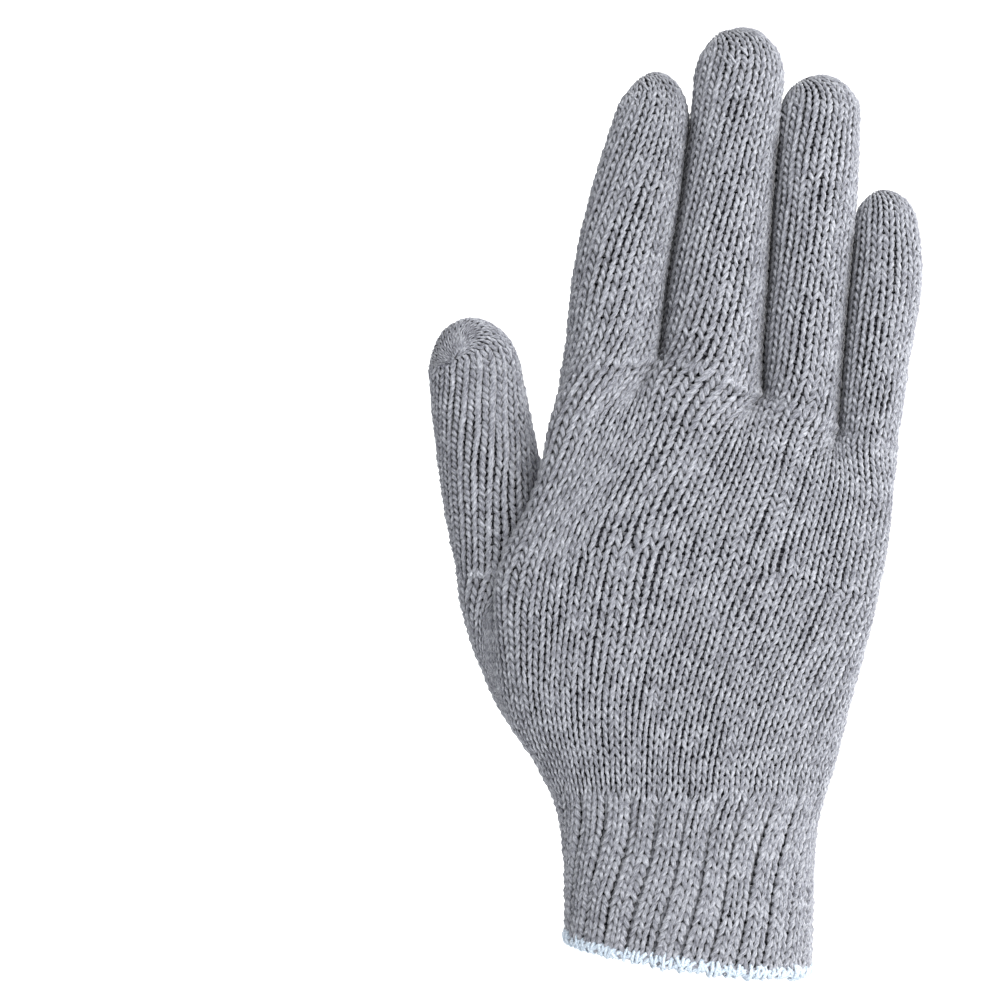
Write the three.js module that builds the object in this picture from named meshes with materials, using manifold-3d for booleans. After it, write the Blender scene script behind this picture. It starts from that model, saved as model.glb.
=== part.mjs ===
// A seamless knitted work glove for a right hand, in millimetres.
// +Z runs along the hand from the wrist opening to the fingertips, -Y is the back of the hand,
// -X is the thumb side. The origin is the middle of the wrist opening, at the lower edge of the hem.
// Every piece is a hollow wall of knitted fabric, so that a hand goes in through the cuff.

import * as THREE from 'three';
import Module from 'manifold-3d';

const wasm = await Module();
wasm.setup();

// Fabric and clearances
const WALL = 2.0; // thickness of the knitted fabric
const JOIN_GAP = 0.3; // clearance between neighbouring pieces
const FINGER_GAP = 0.8; // air between two fingers that lie side by side
const STUB = 13; // how far a finger's hollow reaches down inside the hand body
const WAY_TAPER = 0.8; // how much narrower that way is at its lower end

// Cuff and hem
const CUFF_WIDTH = 63;
const CUFF_DEPTH = 43;
const CUFF_HEIGHT = 40; // from the origin to the top of the ribs
const HEM_HEIGHT = 3.2;
const HEM_THICKNESS = 3.9;
const HEM_DIP = 0.9; // thickness of every second loop of the hem, as a share of the loop before
const HEM_SLOPE_DEG = 7.5; // the hem drops towards the little finger
const HEM_TILT_DEG = 6.5; // and towards the back of the hand
const RIB_COUNT = 24;
const RIB_RELIEF = 0.9; // depth of the grooves between the ribs
const RIB_LEAN = 0.035; // share of a whole turn by which the ribs lean round from hem to palm

// Hand body
const PALM_BREADTH = 97;
const PALM_DEPTH = 36;
const KNUCKLE_HEIGHT = 150; // from the origin to the fork of the index and middle fingers
const KNUCKLE_BREADTH = 87;

// Fingers and thumb, each length from the middle of its root to its tip
const INDEX_LENGTH = 73;
const MIDDLE_LENGTH = 87.5;
const RING_LENGTH = 84.7;
const LITTLE_LENGTH = 62.5;
const FINGER_REACH = 100; // height over which the finger lanes are tabled
const THUMB_LENGTH = 62;
const THUMB_WIDTH = 26;
const THUMB_DEPTH = 25;

// Points round the sections
const HALF_SIDES = 8; // on the back, or on the palm side, of one finger
const FINGER_COUNT = 4;
const HAND_SIDES = 2 * HALF_SIDES * FINGER_COUNT;
const RIB_POINTS = 4; // round one rib
const HEM_SIDES = 6; // round the hem's own section
const HEM_STITCHES = 2 * RIB_COUNT; // loops of thread along the hem

// The five borders of the finger lanes, as shares of KNUCKLE_BREADTH across, row by row up the
// fingers. Border 0 is the outer edge of the index, border 4 the outer edge of the little finger.
const LANE_ROWS = [
  { rise: 0.0, borders: [-0.4, -0.103, 0.213, 0.428, 0.606] },
  { rise: 0.2, borders: [-0.359, -0.078, 0.213, 0.445, 0.644] },
  { rise: 0.4, borders: [-0.329, -0.053, 0.23, 0.466, 0.678] },
  { rise: 0.6, borders: [-0.274, -0.015, 0.245, 0.487, 0.66] },
  { rise: 0.8, borders: [-0.207, 0.01, 0.267, 0.502, 0.67] },
  { rise: 1.0, borders: [-0.15, 0.03, 0.3, 0.52, 0.68] },
];

// Height of the knuckle line at those borders, as shares of KNUCKLE_HEIGHT
const KNUCKLE_RISE = [0.975, 1.0, 0.937, 0.878, 0.845];

// Fingers from the index outwards. depth: thickness as a share of the lane width. back: how far the
// root is set towards the palm side, and curl: how far the tip bends that way, shares of PALM_DEPTH.
const FINGERS = [
  { name: 'index_finger', length: INDEX_LENGTH, depth: 0.92, back: 0.03, curl: 0.22 },
  { name: 'middle_finger', length: MIDDLE_LENGTH, depth: 0.9, back: -0.02, curl: 0.25 },
  { name: 'ring_finger', length: RING_LENGTH, depth: 0.98, back: 0.03, curl: 0.27 },
  { name: 'little_finger', length: LITTLE_LENGTH, depth: 1.0, back: 0.06, curl: 0.24 },
];

// Outline of the hand body from the cuff to the knuckle line. left and right: edges across as shares
// of PALM_BREADTH. back and palm: thickness to each side as shares of PALM_DEPTH. square: exponent
// of the superellipse, 2 is an ellipse and more is squarer.
const PALM_ROWS = [
  { rise: 0.1, left: -0.408, right: 0.384, back: 0.5, palm: 0.54, square: 2.15 },
  { rise: 0.2, left: -0.455, right: 0.405, back: 0.47, palm: 0.57, square: 2.25 },
  { rise: 0.3, left: -0.485, right: 0.429, back: 0.46, palm: 0.6, square: 2.3 },
  { rise: 0.4, left: -0.5, right: 0.454, back: 0.45, palm: 0.61, square: 2.3 },
  { rise: 0.5, left: -0.502, right: 0.475, back: 0.445, palm: 0.58, square: 2.35 },
  { rise: 0.58, left: -0.485, right: 0.49, back: 0.435, palm: 0.53, square: 2.4 },
  { rise: 0.66, left: -0.448, right: 0.505, back: 0.42, palm: 0.48, square: 2.5 },
  { rise: 0.74, left: -0.4, right: 0.516, back: 0.405, palm: 0.43, square: 2.7 },
  { rise: 0.82, left: -0.372, right: 0.524, back: 0.385, palm: 0.41, square: 2.9 },
  { rise: 0.91, left: -0.36, right: 0.53, back: 0.365, palm: 0.385, square: 3.1 },
  { rise: 1.0, left: -0.35, right: 0.536, back: 0.34, palm: 0.36, square: 3.2 },
];

// Base of the thumb, the rounded heel that grows out of the hand's edge: its middle across and back
// and its half width, as shares of PALM_BREADTH, PALM_DEPTH and THUMB_WIDTH, by the same rises
const HEEL_ROWS = [
  { rise: 0.03, across: -0.14, back: 0.02, size: 0.45 },
  { rise: 0.1, across: -0.23, back: 0.06, size: 0.63 },
  { rise: 0.2, across: -0.309, back: 0.14, size: 0.64 },
  { rise: 0.3, across: -0.363, back: 0.22, size: 0.615 },
  { rise: 0.4, across: -0.412, back: 0.29, size: 0.577 },
  { rise: 0.48, across: -0.442, back: 0.34, size: 0.54 },
  { rise: 0.555, across: -0.46, back: 0.37, size: 0.51 },
];
const OUTLINE_STEPS = 240; // fine steps from which the points of a section are spread
const LOBES_BEGIN = 0.84; // share of the height where the outline starts to divide into fingers
const PALM_LEVELS = [0, 0.08, 0.16, 0.25, 0.34, 0.43, 0.51, 0.58, 0.66, 0.75, 0.84, 0.9, 0.95, 1];
const HOLLOW_TOP = 0.92; // where the hand's common hollow ends and the finger hollows go on

// Cuff outline: width and depth as shares of CUFF_WIDTH and CUFF_DEPTH, groove depth of RIB_RELIEF
const CUFF_ROWS = [
  { rise: 0.0, width: 0.985, depth: 0.99, groove: 1 },
  { rise: 0.3, width: 0.99, depth: 0.98, groove: 1 },
  { rise: 0.6, width: 1.0, depth: 0.96, groove: 1 },
  { rise: 0.82, width: 1.03, depth: 0.95, groove: 0.9 },
  { rise: 1.0, width: 1.09, depth: 0.95, groove: 0.35 },
];

// Finger sections: width and depth as shares of the lane, along the straight part below the dome
const FINGER_ROWS = [
  { rise: 0.0, width: 1.0, depth: 1.0 },
  { rise: 0.2, width: 1.0, depth: 0.98 },
  { rise: 0.45, width: 0.99, depth: 0.94 },
  { rise: 0.7, width: 1.0, depth: 0.93 },
  { rise: 1.0, width: 0.99, depth: 0.88 },
];
const DOME_LENGTH = 0.62; // length of the rounded tip as a share of the lane's width
const DOME_STEPS = [0.3, 0.56, 0.77, 0.91, 0.985]; // shares of the dome's length
const SHAFT_STEPS = [0, 0.1, 0.22, 0.36, 0.52, 0.7, 0.86, 1]; // shares of the straight part

// Bends of the thumb's spine as shares of THUMB_LENGTH
const THUMB_LEAN = -0.165; // sideways from root to tip
const THUMB_BOW = -0.01; // further sideways in the middle
const THUMB_CURL = 0.05; // to the palm side in the middle
const THUMB_ROWS = [
  { rise: 0.0, width: 1.0, depth: 1.0 },
  { rise: 0.3, width: 0.98, depth: 0.98 },
  { rise: 0.6, width: 0.95, depth: 0.93 },
  { rise: 1.0, width: 0.88, depth: 0.84 },
];
const ROOT_BLEND = 0.3; // share of a finger over which its slanted root turns square to it

// Value of one column of a table at a given rise, on a smooth curve through its rows
function sample(rows, column, rise) {
  const last = rows.length - 1;
  const clamped = THREE.MathUtils.clamp(rise, rows[0].rise, rows[last].rise);
  let i = 0;
  while (i < last - 1 && clamped > rows[i + 1].rise) i += 1;
  const slope = (a, b) => (column(rows[b]) - column(rows[a])) / (rows[b].rise - rows[a].rise);
  const before = i > 0 ? slope(i - 1, i + 1) : slope(i, i + 1);
  const after = i + 1 < last ? slope(i, i + 2) : slope(i, i + 1);
  const span = rows[i + 1].rise - rows[i].rise;
  const u = (clamped - rows[i].rise) / span;
  const rest = 1 - u;
  const start = column(rows[i]) * (1 + 2 * u) * rest * rest;
  const end = column(rows[i + 1]) * (3 - 2 * u) * u * u;
  return start + end + before * span * u * rest * rest - after * span * u * u * rest;
}

// Soft step from 0 to 1
function smooth(x) {
  return THREE.MathUtils.smoothstep(x, 0, 1);
}

const HEM_SLOPE = Math.tan(THREE.MathUtils.degToRad(HEM_SLOPE_DEG));
const HEM_TILT = Math.tan(THREE.MathUtils.degToRad(HEM_TILT_DEG));
const LANE_BASE = KNUCKLE_HEIGHT * KNUCKLE_RISE[3];

// Position across of one finger border at a height
function border(index, z) {
  const rise = (z - LANE_BASE) / FINGER_REACH;
  return KNUCKLE_BREADTH * sample(LANE_ROWS, (row) => row.borders[index], rise);
}

const KNUCKLES = KNUCKLE_RISE.map((rise, index) => {
  const z = KNUCKLE_HEIGHT * rise;
  return { x: border(index, z), z };
});

// Height of the knuckle line at a position across, straight from border to border
function knuckleLine(x) {
  let i = 0;
  while (i < KNUCKLES.length - 2 && x > KNUCKLES[i + 1].x) i += 1;
  const a = KNUCKLES[i];
  const b = KNUCKLES[i + 1];
  const share = THREE.MathUtils.clamp((x - a.x) / (b.x - a.x), -1, 2);
  return a.z + (b.z - a.z) * share;
}

// Superellipse radius in one direction
function ovalRadius(direction, across, back, palm, square) {
  const deep = direction.y < 0 ? back : palm;
  const sum = (Math.abs(direction.x) / across) ** square + (Math.abs(direction.y) / deep) ** square;
  return sum ** (-1 / square);
}

// Spread points at equal steps of length round a closed outline
function spread(outline, count) {
  const lengths = [0];
  for (let i = 0; i < outline.length; i += 1) {
    lengths.push(lengths[i] + outline[i].distanceTo(outline[(i + 1) % outline.length]));
  }
  const total = lengths[outline.length];
  const points = [];
  let i = 0;
  for (let k = 0; k < count; k += 1) {
    const goal = (total * (k + 0.5)) / count;
    while (lengths[i + 1] < goal) i += 1;
    const share = (goal - lengths[i]) / (lengths[i + 1] - lengths[i]);
    points.push(outline[i].clone().lerp(outline[(i + 1) % outline.length], share));
  }
  return points;
}

const cuffTop = CUFF_ROWS[CUFF_ROWS.length - 1];
const PALM_TABLE = [
  {
    rise: 0,
    left: (-cuffTop.width * CUFF_WIDTH) / 2 / PALM_BREADTH,
    right: (cuffTop.width * CUFF_WIDTH) / 2 / PALM_BREADTH,
    back: (cuffTop.depth * CUFF_DEPTH) / 2 / PALM_DEPTH,
    palm: (cuffTop.depth * CUFF_DEPTH) / 2 / PALM_DEPTH,
    square: 2,
  },
  ...PALM_ROWS,
];

// Plain outline of the hand, moved inwards by an inset. Its points run from the left edge over the
// back of the hand to the right edge and home over the palm side.
function handOutline(rise, inset) {
  const value = (name) => sample(PALM_TABLE, (row) => row[name], rise);
  const left = value('left') * PALM_BREADTH + inset;
  const right = value('right') * PALM_BREADTH - inset;
  const middle = (left + right) / 2;
  const half = (right - left) / 2;
  const back = value('back') * PALM_DEPTH - inset;
  const palm = value('palm') * PALM_DEPTH - inset;
  const outline = [];
  for (let i = 0; i < OUTLINE_STEPS; i += 1) {
    const angle = Math.PI * (1 + (2 * i) / OUTLINE_STEPS);
    const direction = new THREE.Vector2(Math.cos(angle), Math.sin(angle));
    const radius = ovalRadius(direction, half, back, palm, value('square'));
    outline.push(new THREE.Vector2(middle + direction.x * radius, direction.y * radius));
  }
  return spread(outline, HAND_SIDES);
}

// Middle, half width and half depth of a finger at a height, with an inset for the hollow
function laneAt(finger, index, z, inset) {
  const left = border(index, z);
  const right = border(index + 1, z);
  const width = right - left - FINGER_GAP;
  return { x: (left + right) / 2, half: width / 2 - inset, deep: (width * finger.depth) / 2 - inset };
}

// Angle round a section of a numbered point, from the left edge over the back to the right
function sideAngle(column, halfCount) {
  return (Math.PI * (column + 0.5)) / halfCount;
}

// Outline of the hand where it has divided into four finger roots
function rootsOutline(inset) {
  const back = [];
  const palm = [];
  FINGERS.forEach((finger, index) => {
    const z = (KNUCKLES[index].z + KNUCKLES[index + 1].z) / 2;
    const lane = laneAt(finger, index, z, inset);
    for (let j = 0; j < HALF_SIDES; j += 1) {
      const angle = sideAngle(j, HALF_SIDES);
      const x = lane.x - lane.half * Math.cos(angle);
      const y = lane.deep * Math.sin(angle);
      const middle = finger.back * PALM_DEPTH;
      back.push(new THREE.Vector2(x, middle - y));
      palm.push(new THREE.Vector2(x, middle + y));
    }
  });
  return [...back, ...palm.reverse()];
}

const PALM_FOOT = CUFF_HEIGHT + JOIN_GAP;

// Height of a level of the hand body: flat at the cuff, along the knuckle line at the top
function levelHeight(x, rise) {
  return PALM_FOOT + (knuckleLine(x) - PALM_FOOT) * rise;
}

// Ring of the hand body: the plain outline lower down, the four finger roots at the top
function handRing(rise, inset, lift) {
  const plain = handOutline(rise, inset);
  const roots = rootsOutline(inset);
  const share = smooth((rise - LOBES_BEGIN) / (1 - LOBES_BEGIN));
  return plain.map((point, k) => {
    const p = point.clone().lerp(roots[k], share);
    return new THREE.Vector3(p.x, p.y, levelHeight(p.x, rise) + lift);
  });
}

// Ring of points round a finger or the thumb
function fingerRing(middle, across, half, deep) {
  const ring = [];
  for (let j = 0; j < 2 * HALF_SIDES; j += 1) {
    const angle = sideAngle(j, HALF_SIDES);
    const point = middle.clone().addScaledVector(across, -half * Math.cos(angle));
    point.y -= deep * Math.sin(angle);
    ring.push(point);
  }
  return ring;
}

// Closed solid through rings of equal count, each running counterclockwise seen from above, from
// the lowest up. Each end is closed by strips from the back to the palm side.
function loft(rings) {
  const count = rings[0].length;
  const vertices = rings.flat().flatMap((p) => [p.x, p.y, p.z]);
  const triangles = [];
  const quad = (a, b, c, d) => triangles.push(a, b, c, a, c, d);
  for (let r = 0; r + 1 < rings.length; r += 1) {
    for (let k = 0; k < count; k += 1) {
      const next = (k + 1) % count;
      quad(r * count + k, r * count + next, (r + 1) * count + next, (r + 1) * count + k);
    }
  }
  const top = (rings.length - 1) * count;
  for (let k = 0; k + 1 < count / 2; k += 1) {
    const across = count - 1 - k;
    quad(across, across - 1, k + 1, k);
    quad(top + k, top + k + 1, top + across - 1, top + across);
  }
  return solid(vertices, triangles);
}

// Closed ring solid: a profile carried round a closed path, both given as a grid of points
function hoop(grid) {
  const count = grid[0].length;
  const vertices = grid.flat().flatMap((p) => [p.x, p.y, p.z]);
  const triangles = [];
  for (let r = 0; r < grid.length; r += 1) {
    const above = (r + 1) % grid.length;
    for (let k = 0; k < count; k += 1) {
      const next = (k + 1) % count;
      const a = r * count + k;
      const b = r * count + next;
      const c = above * count + next;
      const d = above * count + k;
      triangles.push(a, b, c, a, c, d);
    }
  }
  return solid(vertices, triangles);
}

// Solid of a closed triangle mesh
function solid(vertices, triangles) {
  const mesh = new wasm.Mesh({
    numProp: 3,
    vertProperties: new Float32Array(vertices),
    triVerts: new Uint32Array(triangles),
  });
  return new wasm.Manifold(mesh);
}

// Finger tube from below its root to its tip. inset shrinks it all round, drop starts it lower.
function fingerSolid(finger, index, inset, drop) {
  const leftKnuckle = KNUCKLES[index];
  const rightKnuckle = KNUCKLES[index + 1];
  const root = (leftKnuckle.z + rightKnuckle.z) / 2;
  const rootSlope = (rightKnuckle.z - leftKnuckle.z) / (rightKnuckle.x - leftKnuckle.x);
  const dome = DOME_LENGTH * (border(index + 1, root) - border(index, root));
  const shaft = finger.length - dome;
  const place = (height, size) => {
    const z = root + height;
    const up = Math.max(height, 0) / finger.length;
    const lane = laneAt(finger, index, z, 0);
    const ahead = laneAt(finger, index, z + 1, 0);
    const square = lane.x - ahead.x;
    const slope = THREE.MathUtils.lerp(rootSlope, square, smooth(up / ROOT_BLEND));
    const half = lane.half * sample(FINGER_ROWS, (row) => row.width, height / shaft);
    const deep = lane.deep * sample(FINGER_ROWS, (row) => row.depth, height / shaft);
    const y = (finger.back + finger.curl * up * up) * PALM_DEPTH;
    const middle = new THREE.Vector3(lane.x, y, z);
    const across = new THREE.Vector3(1, 0, slope);
    return fingerRing(middle, across, half * size - inset, deep * size - inset);
  };
  const rings = drop > 0 ? [place(-drop, WAY_TAPER)] : [];
  SHAFT_STEPS.forEach((share) => rings.push(place(share * shaft, 1)));
  const domeRoom = dome - inset;
  DOME_STEPS.forEach((share) => {
    const size = Math.sqrt(1 - share * share);
    const full = place(shaft + share * domeRoom, 1);
    const middle = ringMiddle(full);
    rings.push(full.map((point) => middle.clone().lerp(point, size)));
  });
  return loft(rings);
}

// Mean of a ring's points
function ringMiddle(ring) {
  const sum = ring.reduce((total, point) => total.add(point), new THREE.Vector3());
  return sum.multiplyScalar(1 / ring.length);
}

// Ring of the thumb's heel at a level of the hand body
function heelRing(rise, inset) {
  const value = (name) => sample(HEEL_ROWS, (row) => row[name], rise);
  const middle = new THREE.Vector3(value('across') * PALM_BREADTH, value('back') * PALM_DEPTH, 0);
  const half = value('size') * THUMB_WIDTH - inset;
  const deep = value('size') * THUMB_DEPTH - inset;
  const ring = fingerRing(middle, new THREE.Vector3(1, 0, 0), half, deep);
  ring.forEach((point) => {
    point.z = levelHeight(point.x, rise);
  });
  return ring;
}

// Heel of the thumb, from inside the palm up to the root of the thumb
function heelSolid(inset) {
  return loft(HEEL_ROWS.map((row) => heelRing(row.rise, inset)));
}

// Thumb tube above its heel, its spine bowed outwards and leaning away from the hand
function thumbSolid(inset, lift) {
  const heel = HEEL_ROWS[HEEL_ROWS.length - 1];
  const rootX = heel.across * PALM_BREADTH;
  const rootZ = levelHeight(rootX, heel.rise);
  const rootSlope = levelHeight(rootX + 1, heel.rise) - rootZ;
  const root = new THREE.Vector3(rootX, heel.back * PALM_DEPTH, rootZ + lift);
  const dome = DOME_LENGTH * THUMB_WIDTH;
  const shaft = THUMB_LENGTH - dome;
  const spine = (height) => {
    const up = height / THUMB_LENGTH;
    const sideways = THUMB_LEAN * up + THUMB_BOW * 4 * up * (1 - up);
    const back = THUMB_CURL * 4 * up * (1 - up);
    const offset = new THREE.Vector3(sideways, back, up).multiplyScalar(THUMB_LENGTH);
    return root.clone().add(offset);
  };
  const place = (height) => {
    const tangent = spine(height + 1).sub(spine(height));
    const square = -tangent.x / tangent.z;
    const slope = THREE.MathUtils.lerp(rootSlope, square, smooth(height / THUMB_LENGTH / ROOT_BLEND));
    const fit = 2 * heel.size;
    const width = THUMB_WIDTH * sample(THUMB_ROWS, (row) => row.width, height / shaft);
    const depth = THUMB_DEPTH * sample(THUMB_ROWS, (row) => row.depth, height / shaft);
    const half = (width * fit) / 2 - inset;
    const deep = (depth * fit) / 2 - inset;
    return fingerRing(spine(height), new THREE.Vector3(1, 0, slope), half, deep);
  };
  const rings = SHAFT_STEPS.map((share) => place(share * shaft));
  DOME_STEPS.forEach((share) => {
    const full = place(shaft + share * (dome - inset));
    const middle = ringMiddle(full);
    const size = Math.sqrt(1 - share * share);
    rings.push(full.map((point) => middle.clone().lerp(point, size)));
  });
  return loft(rings);
}

// Solid of everything above the knuckle line, and within reach of the fingers. Beyond the outer
// knuckles its lower face runs level.
function aboveKnuckles(lift) {
  const reach = 2 * KNUCKLE_BREADTH;
  const sky = KNUCKLE_HEIGHT + 2 * FINGER_REACH;
  const shape = new THREE.Shape();
  shape.moveTo(reach, sky);
  shape.lineTo(-reach, sky);
  shape.lineTo(-reach, KNUCKLES[0].z + lift);
  KNUCKLES.forEach((knuckle) => shape.lineTo(knuckle.x, knuckle.z + lift));
  shape.lineTo(reach, KNUCKLES[KNUCKLES.length - 1].z + lift);
  const block = new THREE.ExtrudeGeometry(shape, { depth: 2 * reach, bevelEnabled: false });
  block.rotateX(Math.PI / 2);
  block.translate(0, reach, 0);
  return fromGeometry(block);
}

// Solid of a closed geometry, its equal corners merged
function fromGeometry(geometry) {
  const plain = geometry.index ? geometry.toNonIndexed() : geometry;
  const position = plain.getAttribute('position');
  const keys = new Map();
  const vertices = [];
  const triangles = [];
  for (let i = 0; i < position.count; i += 1) {
    const p = new THREE.Vector3().fromBufferAttribute(position, i);
    const key = `${p.x.toFixed(4)} ${p.y.toFixed(4)} ${p.z.toFixed(4)}`;
    if (!keys.has(key)) {
      keys.set(key, vertices.length / 3);
      vertices.push(p.x, p.y, p.z);
    }
    triangles.push(keys.get(key));
  }
  return solid(vertices, triangles);
}

// Hand body: the palm with the heel of the thumb, less its hollow, with a way into each finger
function makeHandBody() {
  const outside = loft(PALM_LEVELS.map((rise) => handRing(rise, 0, 0)));
  const hollowLevels = PALM_LEVELS.filter((rise) => rise <= HOLLOW_TOP);
  const hollow = loft([
    handRing(0, WALL, -WALL),
    ...hollowLevels.slice(1).map((rise) => handRing(rise, WALL, 0)),
  ]);
  const heelHollow = heelSolid(WALL);
  let inside = hollow.add(heelHollow).add(thumbSolid(WALL + JOIN_GAP, -WALL));
  FINGERS.forEach((finger, index) => {
    inside = inside.add(fingerSolid(finger, index, WALL, STUB));
  });
  return outside.add(heelSolid(0)).subtract(inside).subtract(thumbSolid(-JOIN_GAP, -JOIN_GAP / 2));
}

// Finger stall: a closed tube cut off along the knuckle line
function makeFinger(finger, index) {
  const tube = fingerSolid(finger, index, 0, WALL);
  return tube.subtract(fingerSolid(finger, index, WALL, STUB)).intersect(aboveKnuckles(JOIN_GAP));
}

// Thumb stall: a closed tube whose root is the top of the heel
function makeThumb() {
  return thumbSolid(0, JOIN_GAP / 2).subtract(thumbSolid(WALL, -WALL));
}

// Point of the cuff's oval at an angle, pushed outwards by an offset
function cuffPoint(angle, halfWidth, halfDepth, offset) {
  const point = new THREE.Vector2(-halfWidth * Math.cos(angle), -halfDepth * Math.sin(angle));
  const normal = new THREE.Vector2(point.x / halfWidth ** 2, point.y / halfDepth ** 2).normalize();
  return point.addScaledVector(normal, offset);
}

// Ring of points round the cuff, ribbed on its outside and plain where an inset makes the hollow
function cuffRing(rise, inset, lift) {
  const value = (name) => sample(CUFF_ROWS, (row) => row[name], rise);
  const count = inset === 0 ? RIB_COUNT * RIB_POINTS : RIB_COUNT * 2;
  const ring = [];
  for (let k = 0; k < count; k += 1) {
    const angle = 2 * Math.PI * ((k + 0.5) / count - RIB_LEAN * (1 - rise));
    const groove = k % RIB_POINTS === 0 && inset === 0 ? RIB_RELIEF * value('groove') : 0;
    const halfWidth = (value('width') * CUFF_WIDTH) / 2;
    const halfDepth = (value('depth') * CUFF_DEPTH) / 2;
    const p = cuffPoint(angle, halfWidth, halfDepth, -groove - inset);
    const foot = hemLine(p) + HEM_HEIGHT + JOIN_GAP;
    ring.push(new THREE.Vector3(p.x, p.y, foot + (CUFF_HEIGHT - foot) * rise + lift));
  }
  return ring;
}

// Height of the lower edge of the hem at a point of the cuff's oval
function hemLine(point) {
  return HEM_TILT * point.y - HEM_SLOPE * point.x;
}

function makeCuff() {
  const levels = CUFF_ROWS.map((row) => row.rise);
  const outside = loft(levels.map((rise) => cuffRing(rise, 0, 0)));
  const inset = WALL + RIB_RELIEF;
  const inside = loft([
    cuffRing(0, inset, -HEM_HEIGHT),
    ...levels.slice(1, -1).map((rise) => cuffRing(rise, inset, 0)),
    cuffRing(1, WALL, HEM_HEIGHT),
  ]);
  return outside.subtract(inside);
}

// Hem: a band of overlock thread, a six-sided profile carried round the lower edge of the cuff,
// a little fuller at every second stitch
function makeHem() {
  const foot = CUFF_ROWS[0];
  const halfWidth = (foot.width * CUFF_WIDTH) / 2;
  const halfDepth = (foot.depth * CUFF_DEPTH) / 2;
  const wallMiddle = (WALL + RIB_RELIEF) / 2;
  const topSine = Math.cos(Math.PI / HEM_SIDES);
  const grid = [];
  for (let s = 0; s < HEM_SIDES; s += 1) {
    const turn = (2 * Math.PI * (s + 0.5)) / HEM_SIDES;
    const rise = (HEM_HEIGHT / 2) * (1 + Math.sin(turn) / topSine);
    const row = [];
    for (let k = 0; k < HEM_STITCHES; k += 1) {
      const thickness = k % 2 === 0 ? HEM_THICKNESS : HEM_THICKNESS * HEM_DIP;
      const angle = (2 * Math.PI * (k + 0.5)) / HEM_STITCHES;
      const offset = (thickness / 2) * Math.cos(turn) - wallMiddle;
      const p = cuffPoint(angle, halfWidth, halfDepth, offset);
      row.push(new THREE.Vector3(p.x, p.y, hemLine(p) + rise));
    }
    grid.push(row);
  }
  return hoop(grid);
}

const YARN = { color: 0xa6a7b2, roughness: 0.95, metalness: 0 };
const RIB_YARN = { color: 0xa9aab2, roughness: 0.95, metalness: 0 };
const THREAD = { color: 0xc6cfdb, roughness: 0.85, metalness: 0 };

// Named mesh of a solid, with its material
function toMesh(name, body, look) {
  const { numProp, vertProperties, triVerts } = body.getMesh();
  const geometry = new THREE.BufferGeometry();
  const positions = new Float32Array((vertProperties.length / numProp) * 3);
  for (let i = 0; i < positions.length / 3; i += 1) {
    for (let axis = 0; axis < 3; axis += 1) {
      positions[3 * i + axis] = vertProperties[numProp * i + axis];
    }
  }
  geometry.setAttribute('position', new THREE.BufferAttribute(positions, 3));
  geometry.setIndex(Array.from(triVerts));
  geometry.computeVertexNormals();
  const mesh = new THREE.Mesh(geometry, new THREE.MeshStandardMaterial(look));
  mesh.name = name;
  return mesh;
}

const glove = new THREE.Group();
glove.add(toMesh('hand_body', makeHandBody(), YARN));
FINGERS.forEach((finger, index) => glove.add(toMesh(finger.name, makeFinger(finger, index), YARN)));
glove.add(toMesh('thumb', makeThumb(), YARN));
glove.add(toMesh('rib_cuff', makeCuff(), RIB_YARN));
glove.add(toMesh('overlock_hem', makeHem(), THREAD));

export default glove;
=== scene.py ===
"""Looks of a seamless knitted work glove for a right hand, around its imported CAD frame.

Every stitch is a loop of yarn. A surface of the glove is a grid of points in millimetres, and
the yarn of each course, a row of stitches, runs round it and loops once in each wale, a column.
"""

import bpy
import numpy as np
from bpy.props import FloatProperty, FloatVectorProperty, IntProperty, PointerProperty
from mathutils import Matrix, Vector


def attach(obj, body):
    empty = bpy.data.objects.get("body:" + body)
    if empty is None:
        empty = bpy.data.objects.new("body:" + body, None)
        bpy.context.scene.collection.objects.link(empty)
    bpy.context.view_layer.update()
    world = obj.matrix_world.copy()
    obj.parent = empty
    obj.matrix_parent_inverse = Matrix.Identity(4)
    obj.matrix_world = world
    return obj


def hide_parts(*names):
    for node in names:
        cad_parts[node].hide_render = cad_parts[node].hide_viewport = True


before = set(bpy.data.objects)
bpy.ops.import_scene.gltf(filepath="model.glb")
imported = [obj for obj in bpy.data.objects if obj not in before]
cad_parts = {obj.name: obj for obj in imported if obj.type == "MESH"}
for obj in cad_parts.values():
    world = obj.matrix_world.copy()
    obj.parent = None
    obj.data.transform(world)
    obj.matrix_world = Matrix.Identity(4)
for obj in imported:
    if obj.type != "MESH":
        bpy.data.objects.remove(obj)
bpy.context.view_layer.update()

bl_info = {
    "name": "Knitted work glove",
    "version": (1, 0, 0),
    "blender": (4, 5, 0),
    "location": "3D View > Sidebar > Glove",
    "description": "Knits a heather work glove, loop by loop, over its frame",
    "category": "Mesh",
}

MM = 0.001


def table(names, rows):
    """Columns of a short table by name, one array each."""
    return {name: np.array(column, float) for name, column in zip(names.split(), zip(*rows))}


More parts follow.
